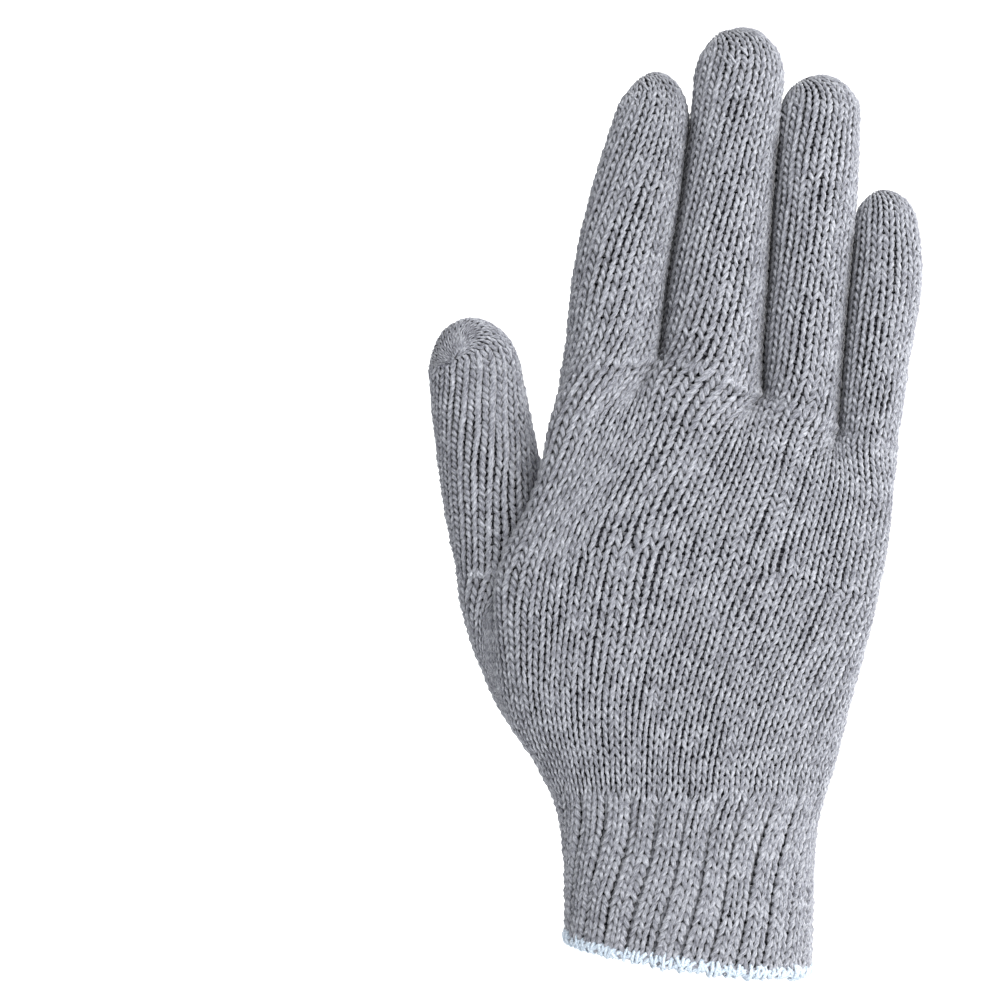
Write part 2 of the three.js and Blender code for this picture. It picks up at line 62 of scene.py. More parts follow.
# Sizes in millimetres, those of the solids. The stalls' rounded tips reach up to 1 mm further,
# and the thumb is longer by as much as its root lies lower here.
CUFF_WIDTH, CUFF_DEPTH, CUFF_HEIGHT = 63, 43, 40
HEM_HEIGHT, HEM_SLOPE, HEM_TILT = 3.2, np.tan(np.radians(7.5)), np.tan(np.radians(6.5))
PALM_BREADTH, PALM_DEPTH, PALM_FOOT = 97, 36, 40.3
KNUCKLE_HEIGHT, KNUCKLE_BREADTH = 150, 87
LOBES_BEGIN = 0.84  # rise at which the palm begins to divide into finger roots
FINGER_REACH = 100  # height that the table of lanes covers
FINGER_PRESS = 0.25  # how far a finger presses into its neighbour
FINGER_SET_BACK = 0.3  # share of its depth by which a finger is widest behind its middle
GROOVE_REACH, GROOVE_TOP, GROOVE_FADE = 1.9, (213, 209, 184), 6.0  # shade between two fingers
THUMB_LENGTH, THUMB_WIDTH, THUMB_DEPTH = 64.4, 26, 25
THUMB_LEAN, THUMB_BOW, THUMB_CURL = -0.165, -0.01, 0.05  # shares of its length
ROOT_BLEND = 0.3  # share of a stall's length over which its sections turn square to its spine
DOME_LENGTH = 0.56  # height of a stall's rounded tip as a share of its width
HUB_ACROSS, HUB_BACK = 0.42, 0.3  # a point inside palm and heel, as shares of the heel's place
VALLEY_FILL, HEEL_FALL = 2.2, 2.2  # filling between palm and heel, and how soon the heel ends

LANES = table("rise b0 b1 b2 b3 b4", [
    (0.0, -0.4, -0.103, 0.213, 0.428, 0.606),
    (0.2, -0.359, -0.078, 0.213, 0.445, 0.644),
    (0.4, -0.329, -0.053, 0.23, 0.466, 0.678),
    (0.6, -0.274, -0.015, 0.245, 0.487, 0.66),
    (0.8, -0.207, 0.01, 0.267, 0.502, 0.67),
    (1.0, -0.15, 0.03, 0.3, 0.52, 0.68)])
KNUCKLE_RISE = np.array([0.975, 1.0, 0.937, 0.878, 0.845])
PALM = table("rise left right back palm square", [
    (0.0, -0.35397, 0.35397, 0.56736, 0.56736, 2.0),
    (0.1, -0.408, 0.384, 0.5, 0.54, 2.15),
    (0.2, -0.455, 0.405, 0.47, 0.57, 2.25),
    (0.3, -0.485, 0.429, 0.46, 0.6, 2.3),
    (0.4, -0.5, 0.454, 0.45, 0.61, 2.3),
    (0.5, -0.502, 0.475, 0.445, 0.58, 2.35),
    (0.58, -0.485, 0.49, 0.435, 0.53, 2.4),
    (0.66, -0.448, 0.505, 0.42, 0.48, 2.5),
    (0.74, -0.4, 0.516, 0.405, 0.43, 2.7),
    (0.82, -0.372, 0.524, 0.385, 0.41, 2.9),
    (0.91, -0.36, 0.53, 0.365, 0.385, 3.1),
    (1.0, -0.35, 0.536, 0.34, 0.36, 3.2)])
HEEL = table("rise across back size", [
    (0.03, -0.14, 0.02, 0.45), (0.1, -0.23, 0.06, 0.63), (0.2, -0.309, 0.14, 0.64),
    (0.3, -0.363, 0.22, 0.615), (0.4, -0.412, 0.29, 0.577), (0.48, -0.442, 0.34, 0.54),
    (0.555, -0.46, 0.37, 0.51)])
CUFF = table("rise width depth groove", [
    (0.0, 0.985, 0.99, 1.0), (0.3, 0.99, 0.98, 1.0), (0.6, 1.0, 0.96, 1.0),
    (0.82, 1.03, 0.95, 0.9), (1.0, 1.09, 0.95, 0.35)])
FINGER_FORM = table("rise width depth", [
    (0.0, 1.0, 1.0), (0.2, 1.0, 0.98), (0.45, 0.99, 0.94), (0.7, 1.0, 0.93), (1.0, 0.99, 0.88)])
THUMB_FORM = table("rise width depth", [
    (0.0, 1.0, 1.0), (0.3, 0.98, 0.98), (0.6, 0.95, 0.93), (1.0, 0.88, 0.84)])

# Fingers from the index outwards. twist: wales that the fabric turns from root to tip, and on
# top of that, in a millimetre at the root. tip: degrees by which the closing of the tip leans
# across and to the back of the hand, and its half length. tack: strands that hold the last
# course, the middle of each across and up, and half its length across and up.
FINGERS = [
    {"name": "index_finger", "length": 74, "depth": 0.92, "back": 0.03, "curl": 0.22,
     "wales": 20, "twist": (2.0, 0.12), "tip": (-24, -10, 0.4),
     "tack": [(-13.8, 215.2, 0.9, -1.1), (-16.6, 212.4, 0.7, -1.0), (-10.8, 217.8, 0.9, -1.2)]},
    {"name": "middle_finger", "length": 88, "depth": 0.9, "back": -0.02, "curl": 0.25,
     "wales": 20, "twist": (2.8, 0.12), "tip": (-24, -12, 0.4),
     "tack": [(9.4, 223.6, 1.2, -1.5), (10.6, 224.6, 1.1, -1.6), (13.8, 226.2, 0.9, -1.1)]},
    {"name": "ring_finger", "length": 85.3, "depth": 0.98, "back": 0.03, "curl": 0.27,
     "wales": 18, "twist": (1.3, 0.12), "tip": (-28, -12, 0.4),
     "tack": [(24.6, 209.6, 1.5, -1.5), (27.4, 212.8, 1.1, -0.9)]},
    {"name": "little_finger", "length": 63.5, "depth": 1.0, "back": 0.06, "curl": 0.24,
     "wales": 16, "twist": (0.4, 0.05), "tip": (-16, -8, 0.4)},
]
THUMB_WALES, THUMB_TWIST, THUMB_TIP = 20, (2.6, 0.05), (-46, -60, 0.16)
ROOT_REACH = 7  # millimetres over which the turning at a root dies away
TURN_POWER = 1.4  # the fabric of a stall turns more the nearer it is to the tip

# Columns of the grids, in places: those of the palm are its wales, and each stall's grid has
# STALL_PLACES at its root, whatever number of wales it is knitted with.
STALL_PLACES = 16
UPPER_WALES = 4 * STALL_PLACES
LOWER_WALES = UPPER_WALES + STALL_PLACES
GRID_COLUMNS = 6  # grid columns to a place
PALM_ROWS, CUFF_ROWS, SHAFT_ROWS, DOME_ROWS, STALL_ROWS = 70, 40, 60, 40, 110
DOME_CLOSED = 0.99  # share of the way to the top that a tip's last ring stands

RIBS, RIB_WALES = 24, 3
HIDDEN_WALE = 0.08  # half the share of a rib's width that its hidden wale keeps
RIB_GROOVE, RIB_GROOVE_DEPTH = 0.18, 1.9
CUFF_TWIST = 0.06  # share of a whole turn from hem to palm
CUFF_FOOT, CUFF_TOP = 1.2, 0.6  # how far the cuff starts above its edge and ends above its height

FORK = 0.555  # share of the palm's height where the thumb's stall begins
FORK_KEPT = 0.5  # how much of the wales' crowding at that fork is left at the cuff
# Wales that the fabric turns on its way up: on average, and how much more than that on one side,
# with the place of that side as a share of the way round from the left edge
PALM_TURN = (1.9, 1.3, 0.04)  # from that fork to the knuckles
WRIST_TURN = (1.3, 3.5, 0.14)  # and from the cuff to the fork

TURN = np.linspace(0, 2 * np.pi, 720, endpoint=False)
OUTLINE_START = np.radians(190)  # where the outline of the palm with the heel begins


def smooth(x):
    """Soft step: 3x squared less 2x cubed, between 0 and 1."""
    x = np.clip(x, 0, 1)
    return x * x * (3 - 2 * x)


def sample(rows, name, rise):
    """Value of a column at a rise, on cubic Hermite curves whose slopes are central differences."""
    at, column = rows["rise"], rows[name]
    rise = np.clip(rise, at[0], at[-1])
    i = np.clip(np.searchsorted(at, rise) - 1, 0, len(at) - 2)
    slope = np.empty_like(column)
    slope[1:-1] = (column[2:] - column[:-2]) / (at[2:] - at[:-2])
    slope[0] = (column[1] - column[0]) / (at[1] - at[0])
    slope[-1] = (column[-1] - column[-2]) / (at[-1] - at[-2])
    span = at[i + 1] - at[i]
    u = (rise - at[i]) / span
    ends = column[i] * (1 + 2 * u) * (1 - u) ** 2 + column[i + 1] * (3 - 2 * u) * u * u
    return ends + span * (slope[i] * u * (1 - u) ** 2 - slope[i + 1] * u * u * (1 - u))


def border(index, z):
    """Position across of a border between finger lanes at a height."""
    base = KNUCKLE_HEIGHT * KNUCKLE_RISE[3]
    return KNUCKLE_BREADTH * sample(LANES, "b%d" % index, (z - base) / FINGER_REACH)


KNUCKLE_Z = KNUCKLE_HEIGHT * KNUCKLE_RISE
KNUCKLE_X = np.array([float(border(i, z)) for i, z in enumerate(KNUCKLE_Z)])
KNUCKLE_CURVE = np.polyfit(KNUCKLE_X, KNUCKLE_Z, 3)


def level_height(x, rise):
    """Height of a level of the palm: flat at the cuff, along the knuckle line at the top. The line
    runs straight from border to border at the top and is a cubic curve lower down."""
    clipped = np.clip(x, KNUCKLE_X[0] - 8, KNUCKLE_X[-1] + 4)
    inner = np.interp(clipped, KNUCKLE_X, KNUCKLE_Z)
    first = (KNUCKLE_Z[1] - KNUCKLE_Z[0]) / (KNUCKLE_X[1] - KNUCKLE_X[0])
    last = (KNUCKLE_Z[-1] - KNUCKLE_Z[-2]) / (KNUCKLE_X[-1] - KNUCKLE_X[-2])
    inner = inner + first * np.minimum(clipped - KNUCKLE_X[0], 0)
    inner = inner + last * np.maximum(clipped - KNUCKLE_X[-1], 0)
    curve = np.polyval(KNUCKLE_CURVE, clipped)
    line = curve + (inner - curve) * smooth((rise - 0.7) / 0.3)
    return PALM_FOOT + (line - PALM_FOOT) * rise


def ring_length(outline):
    """A closed outline with its first point again at the end, and the length up to each point."""
    closed = np.vstack([outline, outline[:1]])
    step = np.linalg.norm(np.diff(closed, axis=0), axis=1)
    return closed, np.concatenate([[0], np.cumsum(step)])


def along(outline, share):
    """Points of a closed outline at shares of its length."""
    closed, length = ring_length(outline)
    goal = np.mod(share, 1) * length[-1]
    return np.stack([np.interp(goal, length, closed[:, axis]) for axis in range(2)], axis=1)


def palm_outline(rise, inset):
    """Superellipse section of the palm, from its left edge over the back of the hand:
    radius = (|cos/half| ** n + |sin/depth| ** n) ** (-1/n)."""
    left = sample(PALM, "left", rise) * PALM_BREADTH + inset
    right = sample(PALM, "right", rise) * PALM_BREADTH - inset
    back = sample(PALM, "back", rise) * PALM_DEPTH - inset
    palm = sample(PALM, "palm", rise) * PALM_DEPTH - inset
    square, half = sample(PALM, "square", rise), (right - left) / 2
    c, s = np.cos(TURN + np.pi), np.sin(TURN + np.pi)
    deep = np.where(s < 0, back, palm)
    radius = (np.abs(c / half) ** square + np.abs(s / deep) ** square) ** (-1 / square)
    return np.stack([(left + right) / 2 + c * radius, s * radius], axis=1)


def heel_section(rise, inset):
    """Middle, half width and half depth of the thumb's heel at a rise of the palm."""
    middle = np.array([sample(HEEL, "across", rise) * PALM_BREADTH,
                       sample(HEEL, "back", rise) * PALM_DEPTH])
    size = sample(HEEL, "size", rise)
    return middle, size * THUMB_WIDTH - inset, size * THUMB_DEPTH - inset


def joined_outline(rise, inset):
    """Section of the palm with the thumb's heel: from a point inside both, the greater of the
    two radii with the valley between them filled softly."""
    heel, wide, deep = heel_section(rise, inset)
    hub = np.array([HUB_ACROSS * heel[0], HUB_BACK * heel[1]])
    ring = palm_outline(rise, inset) - hub
    angle = np.unwrap(np.arctan2(ring[:, 1], ring[:, 0]))
    goal = OUTLINE_START + TURN
    shifted = angle + 2 * np.pi * np.round((OUTLINE_START - angle[0]) / (2 * np.pi))
    turns = np.concatenate([shifted - 2 * np.pi, shifted, shifted + 2 * np.pi])
    plain = np.interp(goal, turns, np.tile(np.linalg.norm(ring, axis=1), 3))
    direction = np.stack([np.cos(goal) / wide, np.sin(goal) / deep], axis=1)
    offset = (heel - hub) / np.array([wide, deep])
    square_sum = (direction ** 2).sum(axis=1)
    toward = (direction @ offset) / square_sum
    inside = toward ** 2 - ((offset ** 2).sum() - 1) / square_sum
    thumb = toward + np.sqrt(np.maximum(inside, 0)) - HEEL_FALL * np.sqrt(np.maximum(-inside, 0))
    blend = np.clip(0.5 + 0.5 * (thumb - plain) / VALLEY_FILL, 0, 1)
    radius = plain + (thumb - plain) * blend + VALLEY_FILL * blend * (1 - blend)
    return hub + np.stack([np.cos(goal), np.sin(goal)], axis=1) * radius[:, None]


def lane(index, z, inset=0.0):
    """Middle, half width and half depth of a finger at a height. Neighbours press together."""
    left = border(index, z) - (FINGER_PRESS if index > 0 else 0)
    right = border(index + 1, z) + (FINGER_PRESS if index < 3 else 0)
    width = right - left
    depth = FINGERS[index]["depth"]
    return (left + right) / 2, width / 2 - inset, width * depth / 2 - inset


def crevice(index, points):
    """How much a finger's yarn is in the shade of a neighbour it is pressed against: 1 at their
    border, 0 from GROOVE_REACH away and above GROOVE_TOP, where the two part."""
    x, z = points[:, 0], points[:, 2]
    shade = np.zeros(len(points))
    for side in (index, index + 1):
        if 0 < side < 4:
            near = 1 - smooth(np.abs(x - border(side, z)) / GROOVE_REACH)
            below = smooth((GROOVE_TOP[side - 1] - z) / GROOVE_FADE)
            shade = np.maximum(shade, near * below)
    return shade


def set_back(b):
    """Depth of a finger's section at a depth b of its ellipse, b + share * (1 - b * b), so that it
    is widest behind its middle and the grooves between fingers run deep."""
    return b + FINGER_SET_BACK * (1 - b * b)


def roots_outline(u, inset):
    """The palm where it has divided into four finger roots: half ellipses side by side over the
    back of the hand, and home over the palm side. u counts wales from the left edge."""
    u = np.mod(u, UPPER_WALES)
    front = u < UPPER_WALES / 2
    number = np.where(front, u, UPPER_WALES - u) / (STALL_PLACES / 2)
    finger = np.clip(np.floor(number).astype(int), 0, 3)
    angle = np.pi * (number - finger)
    sizes = np.array([lane(i, finger_root(i)[0], inset) for i in range(4)])
    back = np.array([f["back"] for f in FINGERS]) * PALM_DEPTH
    x = sizes[finger, 0] - sizes[finger, 1] * np.cos(angle)
    y = back[finger] + sizes[finger, 2] * set_back(np.where(front, -1, 1) * np.sin(angle))
    return np.stack([x, y], axis=1)


def fork_cuts():
    """Where the palm's ring and the thumb's ring are cut open to be joined: a share of the palm's
    outline, and an angle of the thumb's."""
    outline = palm_outline(FORK, 0)
    heel, wide, deep = heel_section(FORK, 0)
    length = ring_length(outline)[1]
    nearest = np.argmin(np.linalg.norm(outline - heel, axis=1))
    toward = outline[nearest] * 0.6 - heel
    angle = np.arctan2(-toward[1] / deep, -toward[0] / wide)
    return length[nearest] / length[-1] - 1, np.mod(angle, 2 * np.pi)


def swing(turn, share):
    """How much more the fabric turns at a share of the way round: a cosine."""
    return turn[1] * np.cos(2 * np.pi * (share - turn[2]))


CUT_SHARE, CUT_ANGLE = fork_cuts()
PALM_SHIFT = CUT_SHARE * UPPER_WALES
TOP_SHIFT = round(PALM_SHIFT + PALM_TURN[0] + swing(PALM_TURN, CUT_SHARE))


def palm_turned(u, up):
    """Place round the palm of wale u at a share of the way up from the fork. At the top it is a
    whole number of wales on, so that the wales run on into the fingers."""
    top = u + TOP_SHIFT
    drop = swing(PALM_TURN, top / UPPER_WALES) - swing(PALM_TURN, TOP_SHIFT / UPPER_WALES)
    drop = drop + TOP_SHIFT - PALM_SHIFT
    return top - drop * (1 - 0.35 * up - 0.15 * up ** 2 - 0.5 * up ** 4)


def ahead_of(place, outline, points, wales, reach, blur):
    """How far ahead of their own place, in wales, points stand along an outline. Only points within
    reach of it count. The rest are set evenly between, and all are blurred over some wales."""
    length = ring_length(outline)[1]
    apart = np.linalg.norm(points[:, None] - outline[None], axis=2)
    near = apart.min(axis=1) < reach
    found = np.unwrap(length[apart.argmin(axis=1)][near] / length[-1], period=1) * wales
    known = np.concatenate([place[near] + turn * wales for turn in (-1, 0, 1)])
    found = np.concatenate([found + turn * wales for turn in (-1, 0, 1)])
    ahead = np.interp(place, known, found) - place
    ahead = ahead - wales * np.round(ahead.mean() / wales)
    width = blur * GRID_COLUMNS
    window = np.hanning(2 * width + 3)[1:-1]
    padded = np.concatenate([ahead[-1 - width:-1], ahead[:-1], ahead[:width]])
    blurred = np.convolve(padded, window / window.sum(), mode="valid")
    return np.append(blurred, blurred[0])


def roots_ahead(u, inset):
    """How far ahead of even spacing the wales stand at the knuckles, and the finger roots."""
    top = palm_turned(u, 1)
    roots = roots_outline(top, inset)
    return ahead_of(top, palm_outline(1, inset), roots, UPPER_WALES, 5, 4), roots


def ahead_share(up):
    """How much of that is there already at a share of the way up from the fork."""
    return 0.5 + 0.2 * up + 0.3 * up ** 4


def places(count):
    """Places of a grid's columns, the first again at the end."""
    return np.arange(count * GRID_COLUMNS + 1) / GRID_COLUMNS


def upper_palm(inset):
    """Grid of the palm above the thumb's fork, with 64 wales."""
    u = places(UPPER_WALES)
    ahead, roots = roots_ahead(u, inset)
    top = palm_turned(u, 1) + ahead
    pinch = roots - along(palm_outline(1, inset), top / UPPER_WALES)
    levels = []
    for rise in np.linspace(FORK, 1, PALM_ROWS):
        up = (rise - FORK) / (1 - FORK)
        turned = palm_turned(u, up) + ahead * ahead_share(up)
        share = smooth((rise - LOBES_BEGIN) / (1 - LOBES_BEGIN))
        p = along(palm_outline(rise, inset), turned / UPPER_WALES) + pinch * share
        levels.append(np.column_stack([p, level_height(p[:, 0], rise)]))
    return np.array(levels)


def lower_palm(inset):
    """Grid of the palm below that fork, with 80 wales, where the thumb's heel is part of it."""
    u = places(LOWER_WALES)
    heel, wide, deep = heel_section(FORK, inset)
    of_palm = u <= UPPER_WALES
    upper = np.minimum(u, UPPER_WALES)
    turned = palm_turned(upper, 0) + ahead_share(0) * np.interp(
        upper, u[of_palm], roots_ahead(u[of_palm], inset)[0])
    palm = along(palm_outline(FORK, inset), turned / UPPER_WALES)
    angle = CUT_ANGLE + 2 * np.pi * (u - UPPER_WALES) / STALL_PLACES
    thumb = np.stack([heel[0] - wide * np.cos(angle), heel[1] - deep * np.sin(angle)], axis=1)
    forked = np.where(of_palm[:, None], palm, thumb)
    outline = joined_outline(FORK, inset)
    ahead = ahead_of(u, outline, forked, LOWER_WALES, 0.4, 2)
    pinch = forked - along(outline, (u + ahead) / LOWER_WALES)
    drop = WRIST_TURN[0] + swing(WRIST_TURN, u / LOWER_WALES)
    levels = []
    for rise in np.linspace(0, FORK, PALM_ROWS):
        up = rise / FORK
        kept = FORK_KEPT + (1 - FORK_KEPT) * up ** 1.2
        turned = u + ahead.mean() + (ahead - ahead.mean()) * kept - drop * (1 - up) ** 1.3
        p = along(joined_outline(rise, inset), turned / LOWER_WALES)
        p = p + pinch * smooth((up - 0.8) / 0.2)
        levels.append(np.column_stack([p, level_height(p[:, 0], rise)]))
    return np.array(levels)


def finger_root(index):
    """Height of a finger's root, how it slopes across, and the height of the rounded tip."""
    left, right = KNUCKLE_Z[index], KNUCKLE_Z[index + 1]
    root = (left + right) / 2
    dome = DOME_LENGTH * (border(index + 1, root) - border(index, root))
    return root, (right - left) / (KNUCKLE_X[index + 1] - KNUCKLE_X[index]), dome


def finger_point(index, height, a, b, inset):
    """A finger's surface: its section at a height above the root, an ellipse across its spine."""
    finger = FINGERS[index]
    root, root_slope, dome = finger_root(index)
    shaft = finger["length"] - dome
    z = root + height
    up = np.maximum(height, 0) / finger["length"]
    x, half, deep = lane(index, z)
    square = x - lane(index, z + 1)[0]
    slope = root_slope + (square - root_slope) * smooth(up / ROOT_BLEND)
    half = half * sample(FINGER_FORM, "width", height / shaft) - inset
    deep = deep * sample(FINGER_FORM, "depth", height / shaft) - inset
    y = (finger["back"] + finger["curl"] * up * up) * PALM_DEPTH
    return np.stack([x + half * a, y + deep * set_back(b), z + slope * half * a], axis=-1)


def thumb_point(height, a, b, inset):
    """The thumb's surface: ellipses across a spine that leans and bows as a parabola."""
    heel, wide, deep = heel_section(FORK, 0)
    root_z = level_height(heel[0], FORK)
    root_slope = level_height(heel[0] + 1, FORK) - root_z
    shaft = THUMB_LENGTH - DOME_LENGTH * THUMB_WIDTH
    up = height / THUMB_LENGTH
    bulge = 4 * up * (1 - up)
    x = heel[0] + (THUMB_LEAN * up + THUMB_BOW * bulge) * THUMB_LENGTH
    y = heel[1] + THUMB_CURL * bulge * THUMB_LENGTH
    square = -(THUMB_LEAN + THUMB_BOW * 4 * (1 - 2 * up))
    slope = root_slope + (square - root_slope) * smooth(up / ROOT_BLEND)
    half = wide * sample(THUMB_FORM, "width", height / shaft) - inset
    depth = deep * sample(THUMB_FORM, "depth", height / shaft) - inset
    return np.stack([x + half * a, y + depth * b, root_z + height + slope * half * a], axis=-1)


def rotated(a, c, angle):
    """Two components turned by an angle."""
    return a * np.cos(angle) + c * np.sin(angle), c * np.cos(angle) - a * np.sin(angle)


def dome_point(tip, t, angle):
    """Point of a unit half sphere whose rings close in on a short line over its top. At a share t
    of the way a ring is an ellipse, its half widths cos(t * arccos(line)) across and cos(pi t / 2)
    in depth, and it leans over, across and to the back, by a share t * t * (2 - t) of two angles."""
    across, back, line = np.radians(tip[0]), np.radians(tip[1]), tip[2]
    a = -np.cos(angle) * np.cos(t * np.arccos(line))
    b = -np.sin(angle) * np.cos(t * np.pi / 2)
    c = np.sqrt(np.maximum(1 - a * a - b * b, 0))
    lean = t * t * (2 - t)
    b, c = rotated(b, c, back * lean)
    a, c = rotated(a, c, across * lean)
    return a, b, np.maximum(c, 0)


def stall_turn(height, length, twist):
    """Wales that a stall's fabric has turned at a height."""
    root = twist[1] * ROOT_REACH * (1 - np.exp(-height / ROOT_REACH))
    return twist[0] * (height / length) ** TURN_POWER + root


def stall_grid(point, dome, shaft, tip, twist, shift, inset, below):
    """Grid of a stall: rings up its shaft, then rings over its rounded tip, set evenly along each
    column. point gives a point from a height and two components across. Also the mean length."""
    u = places(STALL_PLACES)

    def angles(above):
        turn = stall_turn(above[:, None], shaft + dome, twist)
        return shift + 2 * np.pi * (u[None, :] + turn) / STALL_PLACES

    heights = np.linspace(-below, shaft, SHAFT_ROWS)
    angle = angles(np.maximum(heights, 0))
    shaft_rows = point(np.repeat(heights[:, None], len(u), axis=1), -np.cos(angle), -np.sin(angle),
                       inset)
    steps = np.linspace(0, DOME_CLOSED, DOME_ROWS)[1:]
    a, b, c = dome_point(tip, steps[:, None], angles(shaft + dome * np.minimum(steps, 0.5)))
    grid = np.concatenate([shaft_rows, point(shaft + c * (dome - inset), a, b, inset)])
    run = np.linalg.norm(np.diff(grid, axis=0), axis=2)
    share = np.vstack([np.zeros(len(u)), np.cumsum(run, axis=0)]) / run.sum(axis=0)
    even = np.linspace(0, 1, STALL_ROWS)
    columns = [[np.interp(even, share[:, j], grid[:, j, axis]) for axis in range(3)]
               for j in range(len(u))]
    return np.array(columns).transpose(2, 0, 1), run.sum(axis=0).mean()


def finger_grid(index, inset, below=0.0):
    """Grid and length of a finger, from so many millimetres below its root."""
    finger, dome = FINGERS[index], finger_root(index)[2]
    return stall_grid(lambda *at: finger_point(index, *at), dome, finger["length"] - dome,
                      finger["tip"], finger["twist"], 0.0, inset, below)


def thumb_grid(inset, below=0.0):
    """Grid and length of the thumb, from so many millimetres below its root."""
    dome = DOME_LENGTH * THUMB_WIDTH
    return stall_grid(thumb_point, dome, THUMB_LENGTH - dome, THUMB_TIP, THUMB_TWIST, CUT_ANGLE,
                      inset, below)


def hem_line(p):
    """Height of the cuff's lower edge: it slopes across, and hangs lower at the back of the hand."""
    return HEM_TILT * p[:, 1] - HEM_SLOPE * p[:, 0]


def cuff_oval(rise, inset):
    """Half width and depth of the cuff at a rise, and its outline, an ellipse."""
    half = np.array([sample(CUFF, "width", rise) * CUFF_WIDTH / 2 - inset,
                     sample(CUFF, "depth", rise) * CUFF_DEPTH / 2 - inset])
    return half, np.stack([half[0] * np.cos(TURN + np.pi), half[1] * np.sin(TURN + np.pi)], axis=1)


def oval_normal(p, half):
    """Outward unit normals at points of an ellipse round the origin."""
    normal = p / half ** 2
    return normal / np.linalg.norm(normal, axis=1, keepdims=True)


def cuff_grid(inset):
    """Grid of the cuff: ellipses, pressed in at the grooves between ribs of two raised wales and
    one hidden one. The ribs lean as the fabric turns."""
    u = places(RIBS * RIB_WALES)
    rib = np.floor(u / RIB_WALES)
    inside = u / RIB_WALES - rib
    spread = np.interp(inside, [0, 1 / 6, 5 / 6, 1], [0, HIDDEN_WALE, 1 - HIDDEN_WALE, 1])
    share = (rib + spread) / RIBS
    groove = 1 - smooth(np.minimum(spread, 1 - spread) / RIB_GROOVE)
    levels = []
    for rise in np.linspace(0, 1, CUFF_ROWS):
        half, outline = cuff_oval(rise, 0)
        wobble = 0.004 * np.sin(2 * np.pi * (rise * 0.9 + 3 * share)) * rise * (1 - rise) * 4
        p = along(outline, share + wobble - CUFF_TWIST * (1 - rise))
        depth = inset + RIB_GROOVE_DEPTH * groove * sample(CUFF, "groove", rise)
        p = p - oval_normal(p, half) * depth[:, None]
        foot = hem_line(p) + CUFF_FOOT
        levels.append(np.column_stack([p, foot + (CUFF_HEIGHT + CUFF_TOP - foot) * rise]))
    return np.array(levels)


def normals_of(grid):
    """Unit normals of a grid that is closed round its columns, by central differences."""
    ring = grid[:, :-1]
    across = np.roll(ring, -1, axis=1) - np.roll(ring, 1, axis=1)
    upward = np.gradient(ring, axis=0)
    normal = np.cross(across, upward)
    normal /= np.maximum(np.linalg.norm(normal, axis=2, keepdims=True), 1e-9)
    return np.concatenate([normal, normal[:, :1]], axis=1)


ROWS_ABOVE = 8  # grid rows that a band of courses reaches into the next one


def finger_feet(inset):
    """The first rows of the four fingers, joined in the order of the palm's wales."""
    half = STALL_PLACES // 2 * GRID_COLUMNS
    grids = [finger_grid(i, inset)[0][1:ROWS_ABOVE + 1] for i in range(4)]
    front = [grid[:, :half] for grid in grids]
    home = [grid[:, half:2 * half] for grid in reversed(grids)]
    ring = np.roll(np.concatenate(front + home, axis=1), -TOP_SHIFT * GRID_COLUMNS, axis=1)
    return np.concatenate([ring, ring[:, :1]], axis=1)


def fork_feet(upper, inset):
    """The first rows of the upper palm and the thumb, joined in the order of the lower wales."""
    thumb = thumb_grid(inset)[0][1:ROWS_ABOVE + 1, :-1]
    ring = np.concatenate([upper[1:ROWS_ABOVE + 1, :-1], thumb], axis=1)
    return np.concatenate([ring, ring[:, :1]], axis=1)


def palm_feet(cuff, inset):
    """The first rows of the palm, with as many columns as the cuff's last row has."""
    lower = lower_palm(inset)
    apart = np.linalg.norm(cuff[-1][:, None, :2] - lower[0][None, :, :2], axis=2)
    nearest = apart.argmin(axis=1)
    return cuff[-1][None] + lower[1:ROWS_ABOVE + 1, nearest] - lower[0][nearest][None]


def look_up(grid, v, u):
    """Bilinear value of a grid at fractional rows v and columns u, closed round the columns."""
    v = np.clip(v, 0, grid.shape[0] - 1.0001)
    u = np.mod(u, grid.shape[1] - 1)
    i, j = v.astype(int), u.astype(int)
    a, b = (v - i)[..., None], (u - j)[..., None]
    low = grid[i, j] * (1 - b) + grid[i, j + 1] * b
    high = grid[i + 1, j] * (1 - b) + grid[i + 1, j + 1] * b
    return low * (1 - a) + high * a


def make_mesh(name, points, quads, material, strand=None, painted_shade=None):
    """Smooth object of points in millimetres and rows of four corners."""
    mesh = bpy.data.meshes.new(name)
    mesh.vertices.add(len(points))
    mesh.vertices.foreach_set("co", (points * MM).astype(np.float32).ravel())
    mesh.loops.add(quads.size)
    mesh.loops.foreach_set("vertex_index", quads.astype(np.int32).ravel())
    mesh.polygons.add(len(quads))
    mesh.polygons.foreach_set("loop_start", np.arange(0, quads.size, 4, dtype=np.int32))
    mesh.polygons.foreach_set("use_smooth", np.ones(len(quads), bool))
    if strand is not None:
        mesh.attributes.new("strand", "FLOAT_VECTOR", "POINT")
        mesh.attributes["strand"].data.foreach_set("vector", strand.astype(np.float32).ravel())
    if painted_shade is not None:
        mesh.attributes.new("painted_shade", "FLOAT", "POINT")
        mesh.attributes["painted_shade"].data.foreach_set("value", painted_shade.astype(np.float32))
    mesh.update(calc_edges=True)
    if mesh.validate():
        raise RuntimeError("%s: its faces are not sound" % name)
    mesh.materials.append(material)
    piece = bpy.data.objects.new(name, mesh)
    bpy.context.scene.collection.objects.link(piece)
    return piece


YARN_SIDES = 5
YARN_ANGLES = 2 * np.pi * np.arange(YARN_SIDES) / YARN_SIDES
STRAND_APART = 41.7  # how much further along the fibre pattern each next strand starts


